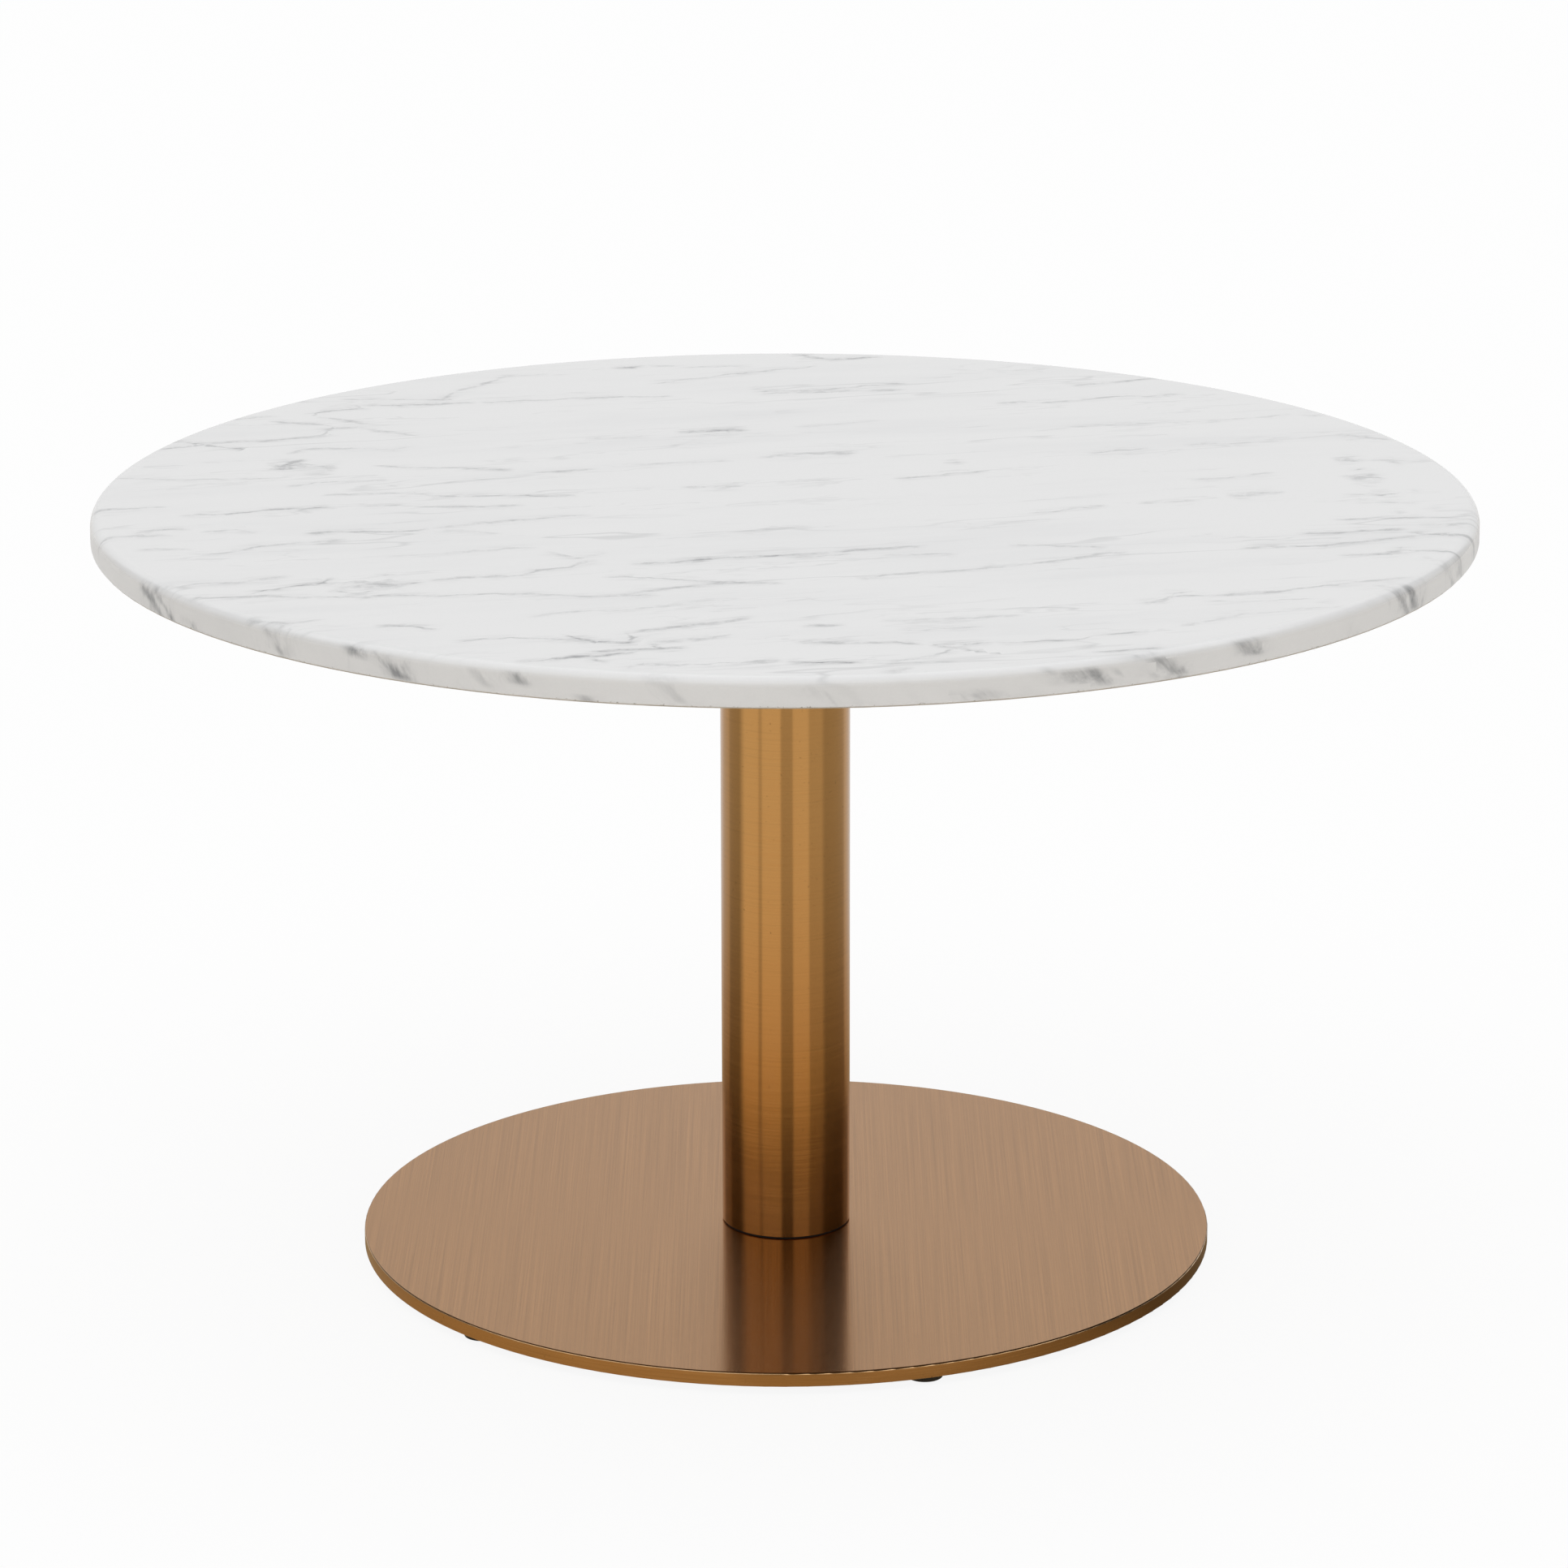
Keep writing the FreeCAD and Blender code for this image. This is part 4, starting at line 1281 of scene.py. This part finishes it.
@dataclass
class Studio:
    """A pale floor under a ring of soft panels, with a soft light overhead.

    Polished metal shows the floor as a painted reflection: stripes of the panels' light, with painted shade
    and a painted warm glow near the base. A reach is where a change in that picture starts and ends, as
    distances from the table's axis. The rim band's light lies on the compass, and the spans of its front
    and rear are cosines of the turn away from that light.
    """

    floor_radius: float = 40.0
    floor_sides: int = 96
    floor_colour: Colour = (0.88, 0.88, 0.88)
    white: Colour = (1.0, 1.0, 1.0)
    white_to_camera: float = 0.91
    overhead: float = 1.55
    overhead_span: Span = (0.62, 0.78)
    panels: tuple[Panel, ...] = (
        Panel(-145.0, 0.79, 0.85), Panel(-117.0, 0.32, 0.80), Panel(-83.0, 0.10, 0.62, 6.0),
        Panel(-48.0, 0.63, 1.06), Panel(-42.0, 0.40, 0.86), Panel(-8.0, 0.63, 1.08),
        Panel(13.0, 0.13, 0.81), Panel(42.0, 0.56, 1.06), Panel(70.0, 0.25, 0.86, 4.0),
        Panel(126.0, 0.06, 0.66, 4.0), Panel(150.0, 0.28, 0.85), Panel(180.0, 0.79, 0.85))
    stripe_reach: Span = (0.36, 1.15)
    stripe_power: float = 2.45
    foot_reach: Span = (0.28, 0.44)
    foot_power: float = 1.5
    rim_reach: Span = (0.292, 0.304)
    rim_light: float = 0.430
    rim_front: Span = (0.05, 0.95)
    rim_tones: Span = (0.26, 1.04)
    rim_rear: Span = (-0.90, -0.20)
    rim_rear_tone: float = 0.45
    shade_reach: Span = (0.25, 0.70)
    shade_tone: float = 0.60
    # Painted shade of the floor under the base plate, as metal shows it.
    under_reach: Span = (0.225, 0.25)
    under_tone: float = 0.15
    # Painted warm glow of the floor near the base, standing in for light bounced off the bronze.
    glow_reach: Span = (0.30, 0.80)
    base_glow: Colour = (1.0, 0.70, 0.38)
    fill_watts: float = 6.5
    fill_place: Place = (2.6, -1.6, 0.9)
    fill_aim: Place = (0.0, 0.0, 0.4)
    fill_size: float = 1.6

    def beside_rim(self, graph: Graph, compass: Socket) -> Socket:
        """Returns the floor that the rim band shows, brightest where the band faces the light.

        Args:
            graph: The floor's nodes.
            compass: The way from the axis to the place on the floor.

        Returns:
            The floor's grey.
        """
        turn = graph.maths("MULTIPLY", graph.maths("SUBTRACT", compass, self.rim_light), math.tau)
        facing = graph.maths("COSINE", turn)
        return graph.maths("ADD", graph.remap(facing, *self.rim_front, *self.rim_tones, False),
                           graph.remap(facing, *self.rim_rear, self.rim_rear_tone, 0.0))

    def reflected(self, graph: Graph) -> Socket:
        """Returns the floor as polished metal shows it: painted stripes of the panels' light, with painted
        shade and a painted warm glow near the base.

        Args:
            graph: The floor's nodes.

        Returns:
            The floor's colour.
        """
        place = graph.add("ShaderNodeNewGeometry").outputs["Position"]
        away = graph.away(place)
        compass = graph.compass(place)
        stripes = graph.ramp(compass, self.stops([panel.floor for panel in self.panels]))
        power = graph.maths("ADD", graph.remap(away, *self.stripe_reach, self.stripe_power, 1.0, False),
                            graph.remap(away, *self.foot_reach, self.foot_power, 0.0))
        stripes = graph.maths("POWER", stripes, power)
        grey = graph.mix(graph.remap(away, *self.rim_reach), self.beside_rim(graph, compass), stripes)
        shade = graph.maths("MULTIPLY", graph.remap(away, *self.shade_reach, self.shade_tone, 1.0, False),
                            graph.remap(away, *self.under_reach, self.under_tone, 1.0))
        grey = graph.maths("MULTIPLY", grey, shade)
        glow = graph.mix(graph.remap(away, *self.glow_reach, 1.0, 0.0), self.white, self.base_glow)
        return graph.mix(1.0, glow, grey, "MULTIPLY")

    def fill(self) -> None:
        """Hangs a soft lamp to the right that lights the stone and doesn't show in the metal."""
        data = bpy.data.lights.new("fill_lamp", "AREA")
        data.energy = self.fill_watts
        data.size = self.fill_size
        lamp = put("fill_lamp", data)
        aim = (Vector(self.fill_aim) - Vector(self.fill_place)).to_track_quat("-Z", "Y")
        lamp.matrix_world = Matrix.Translation(self.fill_place) @ aim.to_matrix().to_4x4()
        lamp.visible_glossy = False

    def paint_floor(self, graph: Graph) -> None:
        """Paints the floor: white to the camera but for the table's soft shadow, and open from below.

        Args:
            graph: The floor's nodes.
        """
        paint = graph.add("ShaderNodeBsdfDiffuse")
        paint.inputs["Color"].default_value = (*self.floor_colour, 1.0)
        rays = graph.add("ShaderNodeLightPath").outputs
        seen = rays["Is Camera Ray"]
        # To glossy and transmission rays the floor is an emission that shows the painted stripes, shade and
        # warm glow.
        bright = graph.add("ShaderNodeEmission")
        graph.feed(bright.inputs["Color"], graph.mix(seen, self.reflected(graph), self.white))
        polished = graph.maths("ADD", rays["Is Glossy Ray"], rays["Is Transmission Ray"], True)
        share = graph.maths("ADD", graph.maths("MULTIPLY", seen, self.white_to_camera), polished)
        lit = graph.blend(share, paint.outputs[0], bright.outputs[0])
        below = graph.add("ShaderNodeNewGeometry").outputs["Backfacing"]
        clear = graph.add("ShaderNodeBsdfTransparent").outputs[0]
        graph.end(graph.blend(below, lit, clear))

    def floor(self) -> None:
        """Lays the floor, which lights nothing itself."""
        mesh = bmesh.new()
        bmesh.ops.create_circle(mesh, cap_ends=True, segments=self.floor_sides, radius=self.floor_radius)
        data = bpy.data.meshes.new("studio_floor")
        mesh.to_mesh(data)
        mesh.free()
        floor = put("studio_floor", data)
        material = bpy.data.materials.new("studio_floor_paint")
        material.use_nodes = True
        material.cycles.emission_sampling = "NONE"
        self.paint_floor(Graph(material.node_tree))
        data.materials.append(material)

    def stops(self, greys: Sequence[float]) -> list[tuple[float, float]]:
        """Returns the panels as stops round the compass, each with a soft edge.

        Args:
            greys: Each panel's grey.

        Returns:
            The stops, from behind on the left round to behind on the right.
        """
        made = [(0.0, greys[0])]
        for panel, grey, following in zip(self.panels, greys, greys[1:]):
            start, end = panel.edge()
            made += [(start, grey), (end, following)]
        made.append((1.0, greys[-1]))
        return made

    def light(self) -> None:
        """Makes the world: panels all round, a soft light above, and white behind for the camera."""
        world = bpy.data.worlds.new("studio_light")
        world.use_nodes = True
        bpy.context.scene.world = world
        graph = Graph(world.node_tree)
        way = graph.add("ShaderNodeTexCoord").outputs["Generated"]
        walls = graph.ramp(graph.compass(way), self.stops([panel.wall for panel in self.panels]))
        above = graph.remap(graph.split(way)[2], *self.overhead_span)
        radiance = graph.mix(above, walls, (self.overhead, self.overhead, self.overhead))
        panels = graph.add("ShaderNodeBackground")
        graph.feed(panels.inputs["Color"], radiance)
        white = graph.add("ShaderNodeBackground")
        white.inputs["Color"].default_value = (*self.white, 1.0)
        seen = graph.add("ShaderNodeLightPath").outputs["Is Camera Ray"]
        graph.end(graph.blend(seen, panels.outputs[0], white.outputs[0]), "ShaderNodeOutputWorld")

    def build(self) -> None:
        """Lays the floor and sets the light."""
        self.floor()
        self.light()
        self.fill()


@dataclass
class PhotoCamera:
    """The camera, standing in front of the table and looking down at it.

    Its turns are in degrees, and its lens and sensor in millimetres.
    """

    away: float = 3.4151
    height: float = 1.2760
    down: float = 16.208
    roll: float = -0.109
    yaw: float = 0.013
    lens: float = 139.17
    sensor: float = 36.0

    def build(self) -> None:
        """Makes the camera and hands it to the scene."""
        data = bpy.data.cameras.new("photo_camera")
        data.lens = self.lens
        data.sensor_width = self.sensor
        camera = put("photo_camera", data)
        aim = Matrix.Rotation(math.radians(self.yaw), 4, "Z")
        tilt = Matrix.Rotation(math.radians(90.0 - self.down), 4, "X")
        twist = Matrix.Rotation(math.radians(self.roll), 4, "Z")
        camera.matrix_world = Matrix.Translation((0.0, -self.away, self.height)) @ aim @ tilt @ twist
        bpy.context.scene.camera = camera


def main() -> None:
    """Builds and dresses the sub-assemblies, then sets the studio and the camera."""
    logging.basicConfig(level=logging.INFO, format="%(name)s: %(message)s")
    for part in (MarbleTop(), TopFixing(), Column(), Base(), Glides()):
        for piece in part.build():
            LOG.info("%s: %s, %s", type(part).__name__, piece.name, piece.data.materials[0].name)
    Studio().build()
    PhotoCamera().build()
    bpy.context.scene.view_settings.view_transform = "Standard"


if __name__ == "__main__":
    main()
